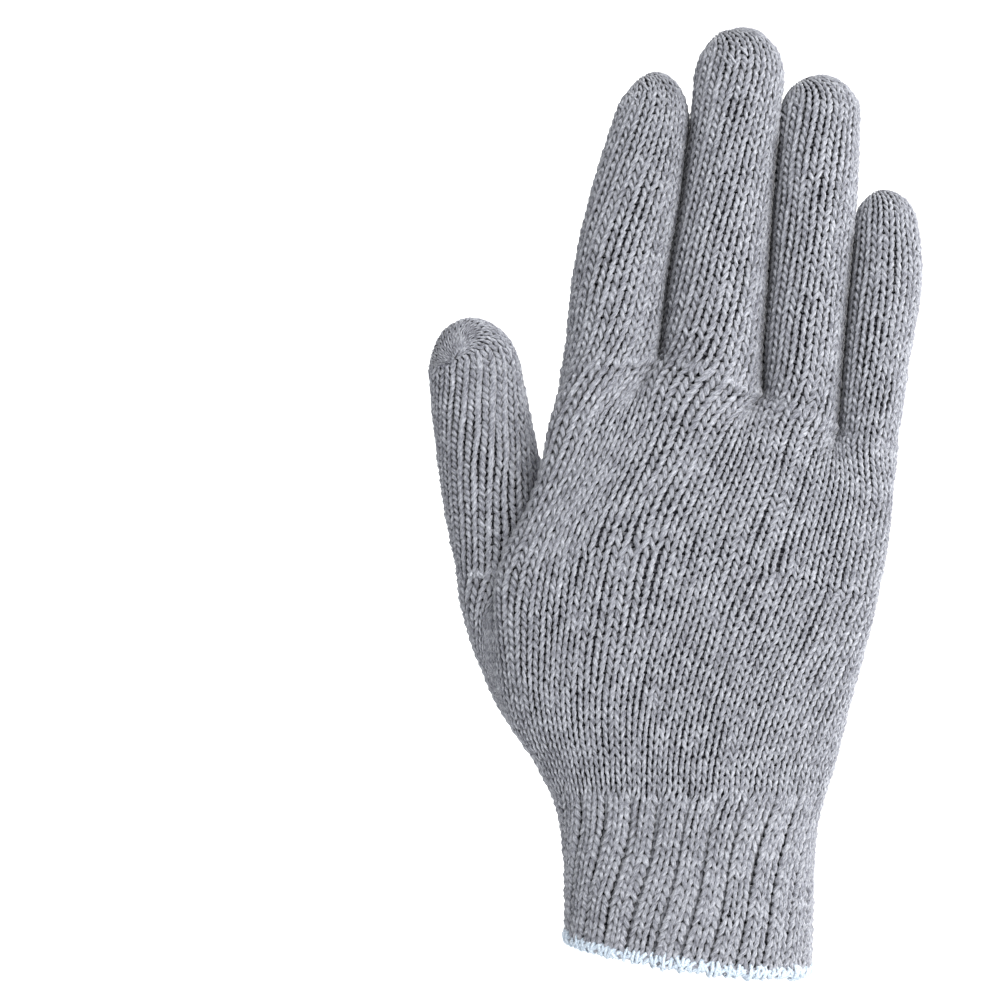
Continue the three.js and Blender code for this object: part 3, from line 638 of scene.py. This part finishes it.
def sweep(paths, normals, radius):
    """Closed tubes round closed paths: each section is a circle of YARN_SIDES points in the
    plane of the surface's normal and of the cross product of that with the path's direction.
    Gives points, quads and the place on the strand: how far along it, and round it."""
    rows, count = paths.shape[:2]
    tangent = np.roll(paths, -1, axis=1) - np.roll(paths, 1, axis=1)
    tangent /= np.maximum(np.linalg.norm(tangent, axis=2, keepdims=True), 1e-9)
    side = np.cross(tangent, normals)
    side /= np.maximum(np.linalg.norm(side, axis=2, keepdims=True), 1e-9)
    up = np.cross(side, tangent)
    step = np.linalg.norm(np.roll(paths, -1, axis=1) - paths, axis=2)
    run = np.cumsum(step, axis=1) - step
    c, s = np.cos(YARN_ANGLES)[None, None, :, None], np.sin(YARN_ANGLES)[None, None, :, None]
    r = radius[..., None, None]
    points = paths[:, :, None] + r * (c * up[:, :, None] + s * side[:, :, None])
    strand = np.empty((rows, count, YARN_SIDES, 3))
    strand[..., 0] = (run + STRAND_APART * np.arange(rows)[:, None])[..., None]
    strand[..., 1] = radius[..., None] * c[..., 0]
    strand[..., 2] = radius[..., None] * s[..., 0]
    ring = np.arange(rows * count * YARN_SIDES).reshape(rows, count, YARN_SIDES)
    ahead = np.roll(ring, -1, axis=1)
    quads = np.stack([ring, np.roll(ring, -1, axis=2), np.roll(ahead, -1, axis=2), ahead], axis=-1)
    return points.reshape(-1, 3), quads.reshape(-1, 4), strand.reshape(-1, 3)


# Where along a stitch its yarn has points: the foot, five up one leg to the head, and five down
STITCH = np.array([0.0, 0.095, 0.18, 0.27, 0.36, 0.45, 0.55, 0.64, 0.73, 0.82, 0.905])
# How much stitches vary: thickness and waist as shares, how far out in millimetres, and courses up
SIZE_VARIES, WAIST_VARIES, OUT_VARIES, UP_VARIES = 0.09, 0.16, 0.09, 0.07
WANDER_COURSES = 5.0  # courses from one bend of a wale to the next
FULL_PITCH = 4.0  # millimetres from wale to wale at which the yarn has its full size


def stitch_rows(grid, wales, courses, settings, seed, band=None, above=None, fullness=1.0):
    """Yarn of the courses in a band, or of all. Within a stitch, t runs from 0 to 1 and
    across = t + waist * sin(4 pi t), up = loop / 2 * (1 - cos(2 pi t)), out = -depth * cos(4 pi t),
    so that the legs stand in front as a V and the head and foot lie behind. The yarn swells in
    the legs and is nipped at head and foot: radius = 1 + leaf * (sin(2 pi t) ** 2 - 1 / 2).
    above: grid rows that the last heads reach into."""
    rng = np.random.default_rng(seed)
    per_course = (grid.shape[0] - 1) / courses
    per_wale = (grid.shape[1] - 1) / wales
    full = grid if above is None else np.concatenate([grid, above])
    normals = normals_of(full)
    pitch_grid = np.linalg.norm(
        np.roll(full[:, :-1], -2, axis=1) - np.roll(full[:, :-1], 2, axis=1), axis=2)
    pitch_grid = np.concatenate([pitch_grid, pitch_grid[:, :1]], axis=1) * per_wale / 4
    course = np.arange(*(band or (0, courses)))
    t = np.tile(STITCH, wales)[None, :]
    wale = np.repeat(np.arange(wales), len(STITCH))[None, :]
    pull = look_rows(rng.normal(0, 1, (int(courses / 5) + 3, wales)), course / WANDER_COURSES)
    wander = ring_blend(pull - pull.mean(axis=1, keepdims=True), t) * settings.unevenness

    def varied(amount):
        return amount * ring_blend(rng.normal(0, 1, (len(course), wales)), t)

    size = (1 + varied(SIZE_VARIES)) * (1 + settings.leaf * (np.sin(2 * np.pi * t) ** 2 - 0.5))
    lift, tug = varied(OUT_VARIES), varied(UP_VARIES)
    waist = settings.waist * (1 + varied(WAIST_VARIES))
    across = wale + t + waist * np.sin(4 * np.pi * t) + wander
    up = course[:, None] + settings.loop / 2 * (1 - np.cos(2 * np.pi * t)) + tug
    v, u = up * per_course, across * per_wale
    normal = look_up(normals, v, u)
    normal /= np.maximum(np.linalg.norm(normal, axis=2, keepdims=True), 1e-9)
    pitch = look_up(pitch_grid[..., None], v, u)[..., 0]
    ease = np.clip(pitch / FULL_PITCH, 0.2, 1.1)
    radius = fullness * settings.yarn / 2 * ease ** 0.85 * size
    out = -settings.depth * ease ** 0.5 * np.cos(4 * np.pi * t) + lift
    paths = look_up(full, v, u) + normal * out[..., None]
    # In the shade: 1 at head and foot and on the yarn's inner side, 0 on the outside of a leg
    lit = np.broadcast_to(0.5 - 0.5 * np.cos(4 * np.pi * t), radius.shape)
    lit = lit[..., None] * (1 - np.clip(0.32 - 0.8 * np.cos(YARN_ANGLES), 0, 1))
    return (*sweep(paths, normal, radius), 1 - lit.ravel())


def look_rows(knots, at):
    """Rows of knots blended smoothly at fractional places."""
    i = np.floor(at).astype(int)
    part = smooth(at - i)[:, None]
    return knots[i] * (1 - part) + knots[i + 1] * part


def ring_blend(values, t):
    """One value per stitch, blended into the next round the ring, at places t of each stitch."""
    before, value, after = (np.repeat(np.roll(values, turn, axis=1), len(STITCH), axis=1)
                            for turn in (1, 0, -1))
    return np.where(t < 0.5, before + (value - before) * (t + 0.5),
                    value + (after - value) * (t - 0.5))


def tack(grid, strands):
    """Short strands that hold a stall's last course. Each is a loop in a plane square to the
    surface: along = half * cos(t), out = 0.8 * sin(t), with its lower half out of sight, and
    radius = 0.24 + 0.14 * sin(t) ** 2."""
    t = 2 * np.pi * np.arange(16) / 16
    front = grid[grid[..., 1] < np.median(grid[..., 1])]
    paths, normals = [], []
    for across, upward, wide, high in strands:
        x, z = across + wide * np.cos(t), upward + high * np.cos(t)
        near = ((front[:, None, 0] - x) ** 2 + (front[:, None, 2] - z) ** 2).argmin(axis=0)
        line = np.polyval(np.polyfit(np.cos(t), front[near, 1], 2), np.cos(t))
        paths.append(np.column_stack([x, line - 0.45 - 0.8 * np.sin(t), z]))
        half = np.hypot(wide, high)
        normals.append(np.column_stack([np.cos(t) * wide / half, -np.sin(t),
                                        np.cos(t) * high / half]))
    radius = np.tile(0.24 + 0.14 * np.sin(t) ** 2, (len(strands), 1))
    return sweep(np.array(paths), np.array(normals), radius)


HEM_PARTS = 12  # points of a strand to a wrap
HEM_INSET, HEM_LIFT = 1.3, 0.1
HEM_STRANDS = ((0.0, 0.0, 1.0), (0.9, 0.5, 0.8), (-0.8, 0.25, 0.9))  # lean, phase, size
HEM_YARN, HEM_YARN_VARIES, HEM_YARN_RANGE = 0.46, 0.22, (0.28, 0.7)
HEM_CORE = 1.1  # radius of the rolled edge inside the wraps


def soft_noise(rng, knots, parts):
    """Random values round a ring, one a knot, blended smoothly over the parts between knots."""
    values = rng.normal(0, 1, knots)
    part = smooth(np.arange(parts) / parts)
    return (values[:, None] * (1 - part) + np.roll(values, -1)[:, None] * part).ravel()


def hem_thread(rng, pitch):
    """Three strands wound round the cuff's edge, each wrap an uneven ring: out = cos(turn),
    up = sin(turn), with the strand leaning ahead and back."""
    half, outline = cuff_oval(0.0, HEM_INSET)
    wraps = int(round(np.pi * half.sum() / pitch))
    share = np.arange(wraps * HEM_PARTS) / (wraps * HEM_PARTS)
    paths, turns = [], []
    for lean, phase, loft in HEM_STRANDS:
        bulk = soft_noise(rng, wraps, HEM_PARTS)
        turn = 2 * np.pi * (share * wraps + phase) + 0.5 * soft_noise(rng, wraps, HEM_PARTS)
        wave = (lean * np.sin(turn) * 0.6 + 0.3 * soft_noise(rng, wraps, HEM_PARTS)) / wraps
        p = along(outline, share + wave)
        normal = oval_normal(p, half)
        out = (1.35 * loft + 0.2 * bulk) * np.cos(turn)
        high = HEM_HEIGHT / 2 + (1.6 * loft + 0.35 * bulk) * np.sin(turn)
        p = p + normal * out[:, None]
        paths.append(np.column_stack([p, hem_line(p) + high + HEM_LIFT]))
        turns.append(np.column_stack([normal * np.cos(turn)[:, None], np.sin(turn)]))
    radius = HEM_YARN * (1 + HEM_YARN_VARIES * rng.normal(0, 1, (len(paths), len(share))))
    return sweep(np.array(paths), np.array(turns), np.clip(radius, *HEM_YARN_RANGE))


def hem_core():
    """The rolled edge that the thread is wound round."""
    half, outline = cuff_oval(0.0, HEM_INSET)
    outline = outline[::4]
    middle = np.column_stack([outline, hem_line(outline) + HEM_HEIGHT / 2 + HEM_LIFT])
    normal = np.column_stack([oval_normal(outline, half), np.zeros(len(outline))])
    return sweep(middle[None], normal[None], np.full((1, len(outline)), HEM_CORE))


WALL_OUTER, WALL_INNER = 0.75, 1.15  # depths of the reverse's two faces under a grid
WALL_ROWS = 22


def wall(grid, closed_top=False):
    """Thin closed wall of the fabric's reverse under a grid. Its outer face runs up, and its inner
    face comes back down; a stall's wall is closed at the tip. Its strand attribute is 0 in x on
    the outer face and 1 on the inner one."""
    normals = normals_of(grid)
    rows = np.unique(np.linspace(0, grid.shape[0] - 1, WALL_ROWS).astype(int))
    pick = np.ix_(rows, np.arange(0, grid.shape[1] - 1, GRID_COLUMNS))
    face = grid[pick] - normals[pick] * WALL_OUTER
    back = (grid[pick] - normals[pick] * WALL_INNER)[::-1]
    rings = np.concatenate([face, back])
    count, wide = rings.shape[:2]
    index = np.arange(count * wide).reshape(count, wide)
    after = np.roll(index, -1, axis=1)
    steps = [(i, i + 1) for i in range(count - 1)] + [(count - 1, 0)]
    if closed_top:
        steps.remove((len(rows) - 1, len(rows)))
    quads = [np.stack([index[a], after[a], after[b], index[b]], axis=1) for a, b in steps]
    if closed_top:
        for ring, turned in ((len(rows) - 1, False), (len(rows), True)):
            left, right = index[ring, :wide // 2], index[ring, ::-1][:wide // 2]
            cap = np.stack([left[:-1], left[1:], right[1:], right[:-1]], axis=1)
            quads.append(cap[:, ::-1] if turned else cap)
    side = np.zeros((count, wide, 3))
    side[len(rows):, :, 0] = 1
    return rings.reshape(-1, 3), np.concatenate(quads), side.reshape(-1, 3)


def linear(colour):
    """sRGB hex value such as 0xa0b0c0 as linear red, green and blue."""
    parts = np.array([(colour >> shift) & 255 for shift in (16, 8, 0)]) / 255
    lit = np.where(parts <= 0.04045, parts / 12.92, ((parts + 0.055) / 1.055) ** 2.4)
    return tuple(lit.tolist())


def add(tree, kind, inputs=None, **settings):
    """Adds a node with its settings, and sets or links its inputs by name or number."""
    node = tree.nodes.new(kind)
    for key, value in settings.items():
        setattr(node, key, value)
    for key, value in (inputs or {}).items():
        if isinstance(value, bpy.types.NodeSocket):
            tree.links.new(value, node.inputs[key])
        else:
            node.inputs[key].default_value = value
    return node


def attribute(tree, name, output="Vector"):
    """Output of a mesh attribute's node."""
    return add(tree, "ShaderNodeAttribute", attribute_name=name).outputs[output]


def reckon(tree, operation, *values):
    """Output of a math node."""
    return add(tree, "ShaderNodeMath", dict(enumerate(values)), operation=operation).outputs[0]


def noise(tree, space, scale, detail, roughness=0.5):
    """Noise texture's value in a space."""
    return add(tree, "ShaderNodeTexNoise", {"Vector": space, "Scale": scale, "Detail": detail,
                                            "Roughness": roughness}).outputs["Fac"]


def stretched(tree, vector, shares):
    """A vector times shares along each axis."""
    return add(tree, "ShaderNodeVectorMath", {0: vector, 1: shares},
               operation="MULTIPLY").outputs["Vector"]


def ramp(tree, factor, stops):
    """Colour ramp through (place, linear colour) stops."""
    node = add(tree, "ShaderNodeValToRGB", {"Fac": factor})
    elements = node.color_ramp.elements
    while len(elements) < len(stops):
        elements.new(0.5)
    for element, (place, colour) in zip(elements, stops):
        element.position, element.color = place, (*colour, 1)
    return node.outputs["Color"]


def mixed(tree, factor, first, second):
    """Mix of two colours."""
    return add(tree, "ShaderNodeMix", {0: factor, 6: first, 7: second},
               data_type="RGBA").outputs[2]


def bumped(tree, height, strength, distance, invert=False):
    """Normal of a bump, its distance in metres."""
    return add(tree, "ShaderNodeBump", {"Height": height, "Strength": strength,
                                        "Distance": distance}, invert=invert).outputs["Normal"]


def material_of(name, build):
    """The material of a name. build gives the shader's inputs when it is first asked for."""
    material = bpy.data.materials.get(name)
    if material is None:
        material = bpy.data.materials.new(name)
        material.use_nodes = True
        tree = material.node_tree
        tree.nodes.clear()
        shader = add(tree, "ShaderNodeBsdfPrincipled", build(tree))
        add(tree, "ShaderNodeOutputMaterial", {"Surface": shader.outputs["BSDF"]})
    return material


# Near blacks of painted shade: on the yarn where it dips behind its neighbours, and on the reverse's
# outer face seen in the gaps
PAINTED_SHADE_YARN, PAINTED_SHADE_WALL = 0x2c2c33, 0x2a2a30
PLY_STEP = 1.3  # millimetres along a two-ply yarn from one ply to the next


def yarn(tree):
    """Spun heather yarn of cotton and polyester: dark, mid and light fibres blended before
    spinning, so each strand is streaked along its length. It is matt, with a haze of loose
    fibres that shows as sheen. Where it dips behind its neighbours, and where a finger lies
    against the next, its colour is mixed towards a near black: painted shade. The strand
    attribute is in millimetres: along, and across. Real fibres are some 0.02 mm thick, too fine
    to show, so the streaks are drawn about 0.9 mm long and 0.3 mm wide and the fibres' relief half
    as coarse."""
    knit = bpy.context.scene.glove_knit
    strand = attribute(tree, "strand")
    space = stretched(tree, strand, (0.4, 1.3, 1.3))
    streaks = noise(tree, space, 2.9, 3.0, 0.68)
    place = add(tree, "ShaderNodeTexCoord").outputs["Object"]
    clouds = noise(tree, place, 330.0, 1.0)  # 3 mm: one stitch is lighter than the next
    blend = add(tree, "ShaderNodeMix", {0: 0.22, 2: streaks, 3: clouds}, data_type="FLOAT")
    lit = ramp(tree, blend.outputs[0], [(0.34, knit.fibre_dark), (0.43, knit.fibre_grey),
                                        (0.52, knit.fibre_silver), (0.62, knit.fibre_pale)])
    # Painted shade: the colour is mixed towards near black by the mesh's shade attribute, up to 1 at
    # heads and feet of stitches, on the yarn's inner side and between pressed fingers
    deep = reckon(tree, "MULTIPLY", attribute(tree, "painted_shade", "Fac"), 0.85)
    parts = add(tree, "ShaderNodeSeparateXYZ", {0: strand}).outputs
    doubled = reckon(tree, "MULTIPLY", reckon(tree, "ARCTAN2", parts["Z"], parts["Y"]), 2.0)
    phase = reckon(tree, "ADD", reckon(tree, "MULTIPLY", parts["X"], 2 * np.pi / PLY_STEP), doubled)
    fibres = noise(tree, space, 6.5, 2.5, 0.65)
    relief = reckon(tree, "MULTIPLY_ADD", reckon(tree, "SINE", phase), 0.22, fibres)
    return {"Base Color": mixed(tree, deep, lit, (*linear(PAINTED_SHADE_YARN), 1)), "Roughness": 0.92,
            "IOR": 1.5, "Specular IOR Level": 0.22, "Sheen Weight": 0.35, "Sheen Roughness": 0.55,
            "Normal": bumped(tree, relief, 0.7, 0.00028)}


def reverse(tree):
    """Reverse of the knit, seen down in the gaps between the stitches and inside the wrist. Its
    outer face, seen in the gaps, is near black: painted shade. Inside it is grey in bumps about one
    course of 2.1 mm apart, lighter at each bump's middle and darker towards its edge: painted shade
    in the hollows."""
    place = add(tree, "ShaderNodeTexCoord").outputs["Object"]
    cells = add(tree, "ShaderNodeTexVoronoi", {"Vector": place, "Scale": 480.0}).outputs["Distance"]
    # Painted shade: each bump darker towards its edge, where its relief dips
    bumps = ramp(tree, cells, [(0.0, linear(0x9c9da8)), (0.8, linear(0x5c5d66))])
    inner = add(tree, "ShaderNodeSeparateXYZ", {0: attribute(tree, "strand")}).outputs["X"]
    # Outer face: near black, painted shade; inner face: the bumps' grey
    return {"Base Color": mixed(tree, inner, (*linear(PAINTED_SHADE_WALL), 1), bumps), "Roughness": 0.95,
            "Specular IOR Level": 0.1, "Normal": bumped(tree, cells, 0.8, 0.0005, invert=True)}


def overlock_thread(tree):
    """Textured nylon overlock thread: bulky, pale blue white, with a soft lustre. Its filaments
    are too fine to show, so its fluff is drawn about 0.4 mm long and 0.13 mm wide."""
    knit = bpy.context.scene.glove_knit
    fluff = noise(tree, stretched(tree, attribute(tree, "strand"), (0.8, 2.6, 2.6)), 3.0, 3.0)
    colour = ramp(tree, fluff, [(0.34, knit.thread_shade), (0.5, knit.thread_body),
                                (0.64, knit.thread_pale)])
    return {"Base Color": colour, "Roughness": 0.7, "Specular IOR Level": 0.35,
            "Sheen Weight": 0.3, "Normal": bumped(tree, fluff, 0.7, 0.0003)}


def paper(tree):
    """Matt white paper of a studio backdrop."""
    return {"Base Color": (*linear(0xfcfcfc), 1), "Roughness": 0.9, "Specular IOR Level": 0.1}


MATERIALS = {"heather_yarn": ("Heather yarn", yarn), "rib_yarn": ("Rib yarn", yarn),
             "overlock_thread": ("Textured nylon thread", overlock_thread)}


def knit_piece(name, made, slot, node, material=None):
    """A piece in a slot's material. It rides on the glove's one body and stands for a solid."""
    points, quads, *attributes = made
    piece = make_mesh(name, points, quads, material or material_of(*MATERIALS[slot]), *attributes)
    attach(piece, "root")
    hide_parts(node)


def reverse_piece(name, made, node):
    """The reverse behind a knitted piece; its outer face is near black, painted shade in the gaps.
    """
    knit_piece(name, made, "heather_yarn", node, material_of("Knit reverse with painted shade", reverse))


def colour_of(name, description, colour):
    """Colour setting whose default is an sRGB hex value."""
    return FloatVectorProperty(name=name, description=description, subtype="COLOR", size=3,
                               min=0.0, max=1.0, default=linear(colour))


class GloveKnit(bpy.types.PropertyGroup):
    """Sizes of the yarn and its stitches, and colours."""
    yarn: FloatProperty(name="Yarn", description="Thickness of the yarn, in millimetres",
                        default=1.08, min=0.5, max=2.5)
    course: FloatProperty(name="Course", description="Height of one course, in millimetres",
                          default=2.12, min=1.0, max=4.0)
    depth: FloatProperty(name="Depth", description="How far the legs stand out, in millimetres",
                         default=0.6, min=0.1, max=1.5)
    waist: FloatProperty(name="Waist", description="Share of a wale that a loop is pinched in",
                         default=0.225, min=0.0, max=0.3, subtype="FACTOR")
    leaf: FloatProperty(name="Leaf", description="How much the yarn swells in a stitch's legs",
                        default=0.42, min=0.0, max=1.0, subtype="FACTOR")
    loop: FloatProperty(name="Loop", description="Courses that a loop reaches over",
                        default=1.9, min=1.0, max=2.5)
    unevenness: FloatProperty(name="Unevenness", description="Share of a wale that wales wander",
                              default=0.07, min=0.0, max=0.3, subtype="FACTOR")
    inset: FloatProperty(name="Inset", description="Depth of the yarn's middle line under the "
                         "glove's surface, in millimetres", default=0.95, min=0.0, max=2.0)
    hem_pitch: FloatProperty(name="Hem pitch", description="Distance between the wraps of the "
                             "hem's thread, in millimetres", default=2.3, min=1.0, max=5.0)
    seed: IntProperty(name="Seed", description="Seed of the stitches' unevenness", default=7)
    fibre_dark: colour_of("Dark fibres", "Colour of the darkest fibres", 0x50515a)
    fibre_grey: colour_of("Grey fibres", "Colour of the darker mid fibres", 0x75767f)
    fibre_silver: colour_of("Silver fibres", "Colour of the lighter mid fibres", 0x95979f)
    fibre_pale: colour_of("Pale fibres", "Colour of the lightest fibres", 0xbbbdc4)
    thread_shade: colour_of("Thread shade", "Colour deep in the hem's thread", 0x8c9aa9)
    thread_body: colour_of("Thread body", "Main colour of the hem's thread", 0xb6c4d2)
    thread_pale: colour_of("Thread tips", "Colour of the hem's loose filaments", 0xe2ebf3)


class GloveStage(bpy.types.PropertyGroup):
    """Camera, light and floor."""
    lens: FloatProperty(name="Lens", description="Focal length of the camera",
                        default=270.0, unit="CAMERA")
    scale: FloatProperty(name="Scale", description="Width of one pixel at the glove, in "
                         "millimetres", default=0.25)
    key: FloatProperty(name="Key", description="Power of the key light", default=28.5,
                       unit="POWER")
    fill: FloatProperty(name="Fill", description="Strength of the light from all round",
                        default=0.5)
    paper: FloatVectorProperty(name="Surroundings", subtype="COLOR", size=3,
                               description="Colour of the light from all round",
                               default=(0.96, 0.98, 1.0))


def courses_of(length, settings):
    """Courses that fill a length."""
    return max(4, int(round(length / settings.course)))


LOWER_LENGTH, UPPER_LENGTH, CUFF_LENGTH = 57.5, 46.0, 38.0  # millimetres of fabric


class GLOVE_OT_palm(bpy.types.Operator):
    """Knits the palm and back of the hand with the heel of the thumb"""
    bl_idname = "glove.palm"
    bl_label = "Knit the palm"

    def execute(self, context):
        knit = context.scene.glove_knit
        lower, upper = lower_palm(knit.inset), upper_palm(knit.inset)
        lower_count, upper_count = courses_of(LOWER_LENGTH, knit), courses_of(UPPER_LENGTH, knit)
        half = lower_count // 2
        fork, roots = fork_feet(upper, knit.inset), finger_feet(knit.inset)
        bands = [("palm_knit_wrist", lower, LOWER_WALES, lower_count, (0, half), fork),
                 ("palm_knit_heel", lower, LOWER_WALES, lower_count, (half, lower_count), fork),
                 ("palm_knit_knuckles", upper, UPPER_WALES, upper_count, None, roots)]
        for number, (name, grid, wales, courses, band, above) in enumerate(bands):
            made = stitch_rows(grid, wales, courses, knit, knit.seed + number, band, above)
            knit_piece(name, made, "heather_yarn", "hand_body")
        reverse_piece("palm_reverse_lower", wall(lower), "hand_body")
        reverse_piece("palm_reverse_upper", wall(upper), "hand_body")
        return {"FINISHED"}


class GLOVE_OT_fingers(bpy.types.Operator):
    """Knits the four finger stalls"""
    bl_idname = "glove.fingers"
    bl_label = "Knit the fingers"

    def execute(self, context):
        knit = context.scene.glove_knit
        for index, finger in enumerate(FINGERS):
            name = finger["name"]
            grid, length = finger_grid(index, knit.inset, below=knit.course)
            points, quads, strand, painted_shade = stitch_rows(
                grid, finger["wales"], courses_of(length, knit), knit, knit.seed + 10 + index)
            # Painted shade between fingers pressed together, added to the painted shade of the
            # stitches' dips
            painted_shade = np.maximum(painted_shade, 1.15 * crevice(index, points))
            knit_piece(name + "_knit", (points, quads, strand, painted_shade), "heather_yarn", name)
            grid = finger_grid(index, knit.inset, below=3.0)[0]
            reverse_piece(name + "_reverse", wall(grid, closed_top=True), name)
            if "tack" in finger:
                knit_piece(name + "_tack", tack(grid, finger["tack"]), "heather_yarn", name)
        return {"FINISHED"}


class GLOVE_OT_thumb(bpy.types.Operator):
    """Knits the thumb stall"""
    bl_idname = "glove.thumb"
    bl_label = "Knit the thumb"

    def execute(self, context):
        knit = context.scene.glove_knit
        grid, length = thumb_grid(knit.inset, below=knit.course)
        made = stitch_rows(grid, THUMB_WALES, courses_of(length, knit), knit, knit.seed + 20)
        knit_piece("thumb_knit", made, "heather_yarn", "thumb")
        grid = thumb_grid(knit.inset, below=2.0)[0]
        reverse_piece("thumb_reverse", wall(grid, closed_top=True), "thumb")
        return {"FINISHED"}


class GLOVE_OT_cuff(bpy.types.Operator):
    """Knits the ribbed cuff"""
    bl_idname = "glove.cuff"
    bl_label = "Knit the cuff"

    def execute(self, context):
        knit = context.scene.glove_knit
        grid = cuff_grid(knit.inset)
        made = stitch_rows(grid, RIBS * RIB_WALES, courses_of(CUFF_LENGTH, knit), knit,
                           knit.seed + 30, above=palm_feet(grid, knit.inset), fullness=1.3)
        knit_piece("rib_cuff_knit", made, "rib_yarn", "rib_cuff")
        reverse_piece("rib_cuff_reverse", wall(grid), "rib_cuff")
        return {"FINISHED"}


class GLOVE_OT_hem(bpy.types.Operator):
    """Sews the overlock thread round the lower edge of the cuff"""
    bl_idname = "glove.hem"
    bl_label = "Sew the hem"

    def execute(self, context):
        knit = context.scene.glove_knit
        rng = np.random.default_rng(knit.seed + 40)
        knit_piece("hem_thread", hem_thread(rng, knit.hem_pitch), "overlock_thread",
                   "overlock_hem")
        knit_piece("hem_core", hem_core(), "rib_yarn", "overlock_hem")
        return {"FINISHED"}


MIDDLE_PIXEL = np.array([688, 957])  # where the origin shows in the picture
PICTURE_MIDDLE = np.array([500, 500])
MIDDLE_PLANE = 5  # depth in millimetres at which the scale holds
GLOVE_MIDDLE, PAPER_MIDDLE = (0, 0, 0.115), (0, 3.4, 0.3)
# Lamps: power as a share of the key light's, size, place and aim, in metres
LAMPS = [("key_light", 1.0, 0.9, (0.55, -1.1, 0.75), GLOVE_MIDDLE),
         ("rim_light", 0.25, 0.7, (0.9, 0.1, 0.5), GLOVE_MIDDLE),
         ("back_light", 0.4, 0.9, (-0.7, 1.2, 0.8), GLOVE_MIDDLE),
         ("paper_light", 1.6, 1.2, (-0.3, 2.3, 1.6), PAPER_MIDDLE)]
PAPER_BEND, PAPER_FLOOR, PAPER_BACK, PAPER_REACH = 0.6, -0.16, 2.8, 5.0  # metres


class GLOVE_OT_stage(bpy.types.Operator):
    """Sets up the camera, the lights and the white paper floor"""
    bl_idname = "glove.stage"
    bl_label = "Set the stage"

    def execute(self, context):
        stage = context.scene.glove_stage
        scene = context.scene
        scene.view_settings.view_transform = "Standard"
        camera = bpy.data.cameras.new("camera")
        camera.lens = stage.lens
        camera.sensor_width = 36.0
        camera.dof.use_dof = False
        camera.clip_end = 50
        looker = bpy.data.objects.new("camera", camera)
        scene.collection.objects.link(looker)
        away = stage.lens / camera.sensor_width * 1000 * stage.scale * MM
        across, upward = (PICTURE_MIDDLE - MIDDLE_PIXEL) * (1, -1) * stage.scale * MM
        looker.location = (across, MIDDLE_PLANE * MM - away, upward)
        looker.rotation_euler = (np.pi / 2, 0, 0)
        scene.camera = looker

        world = bpy.data.worlds.new("studio")
        world.use_nodes = True
        scene.world = world
        background = world.node_tree.nodes["Background"]
        background.inputs["Color"].default_value = (*stage.paper, 1)
        background.inputs["Strength"].default_value = stage.fill
        for name, power, size, at, aim in LAMPS:
            light = bpy.data.lights.new(name, "AREA")
            light.energy, light.size = stage.key * power, size
            lamp = bpy.data.objects.new(name, light)
            lamp.location = at
            lamp.rotation_mode = "QUATERNION"
            lamp.rotation_quaternion = (Vector(aim) - lamp.location).to_track_quat("-Z", "Y")
            scene.collection.objects.link(lamp)

        # Floor and backdrop in one curve: flat, then a quarter circle, then upright
        arc = np.linspace(0, np.pi / 2, 24)
        y = np.concatenate([[-PAPER_REACH], PAPER_BACK + PAPER_BEND * np.sin(arc),
                            [PAPER_BACK + PAPER_BEND]])
        z = np.concatenate([[PAPER_FLOOR], PAPER_FLOOR + PAPER_BEND * (1 - np.cos(arc)),
                            [PAPER_REACH]])
        points = np.array([(a, b, c) for b, c in zip(y, z) for a in (-PAPER_REACH, PAPER_REACH)])
        rows = np.arange(len(y) - 1) * 2
        quads = np.stack([rows, rows + 1, rows + 3, rows + 2], axis=1)
        backdrop = make_mesh("backdrop", points / MM, quads, material_of("Matt white paper", paper))
        return {"FINISHED"}


class GLOVE_PT_sidebar(bpy.types.Panel):
    """Lists what makes the glove"""
    bl_idname = "GLOVE_PT_sidebar"
    bl_label = "Knitted glove"
    bl_space_type = "VIEW_3D"
    bl_region_type = "UI"
    bl_category = "Glove"

    def draw(self, context):
        for settings in (context.scene.glove_knit, context.scene.glove_stage):
            for name in settings.__annotations__:
                self.layout.prop(settings, name)
        for operator in OPERATORS:
            self.layout.operator(operator.bl_idname)


OPERATORS = (GLOVE_OT_stage, GLOVE_OT_palm, GLOVE_OT_fingers, GLOVE_OT_thumb, GLOVE_OT_cuff,
             GLOVE_OT_hem)
CLASSES = (GloveKnit, GloveStage, *OPERATORS, GLOVE_PT_sidebar)


def register():
    """Registers the classes and their settings."""
    for made in CLASSES:
        bpy.utils.register_class(made)
    bpy.types.Scene.glove_knit = PointerProperty(type=GloveKnit)
    bpy.types.Scene.glove_stage = PointerProperty(type=GloveStage)


def unregister():
    """Takes them away again."""
    del bpy.types.Scene.glove_knit, bpy.types.Scene.glove_stage
    for made in reversed(CLASSES):
        bpy.utils.unregister_class(made)


def main():
    """Builds the glove and its stage."""
    register()
    bpy.ops.glove.stage()
    bpy.ops.glove.palm()
    bpy.ops.glove.fingers()
    bpy.ops.glove.thumb()
    bpy.ops.glove.cuff()
    bpy.ops.glove.hem()


if __name__ == "__main__":
    main()
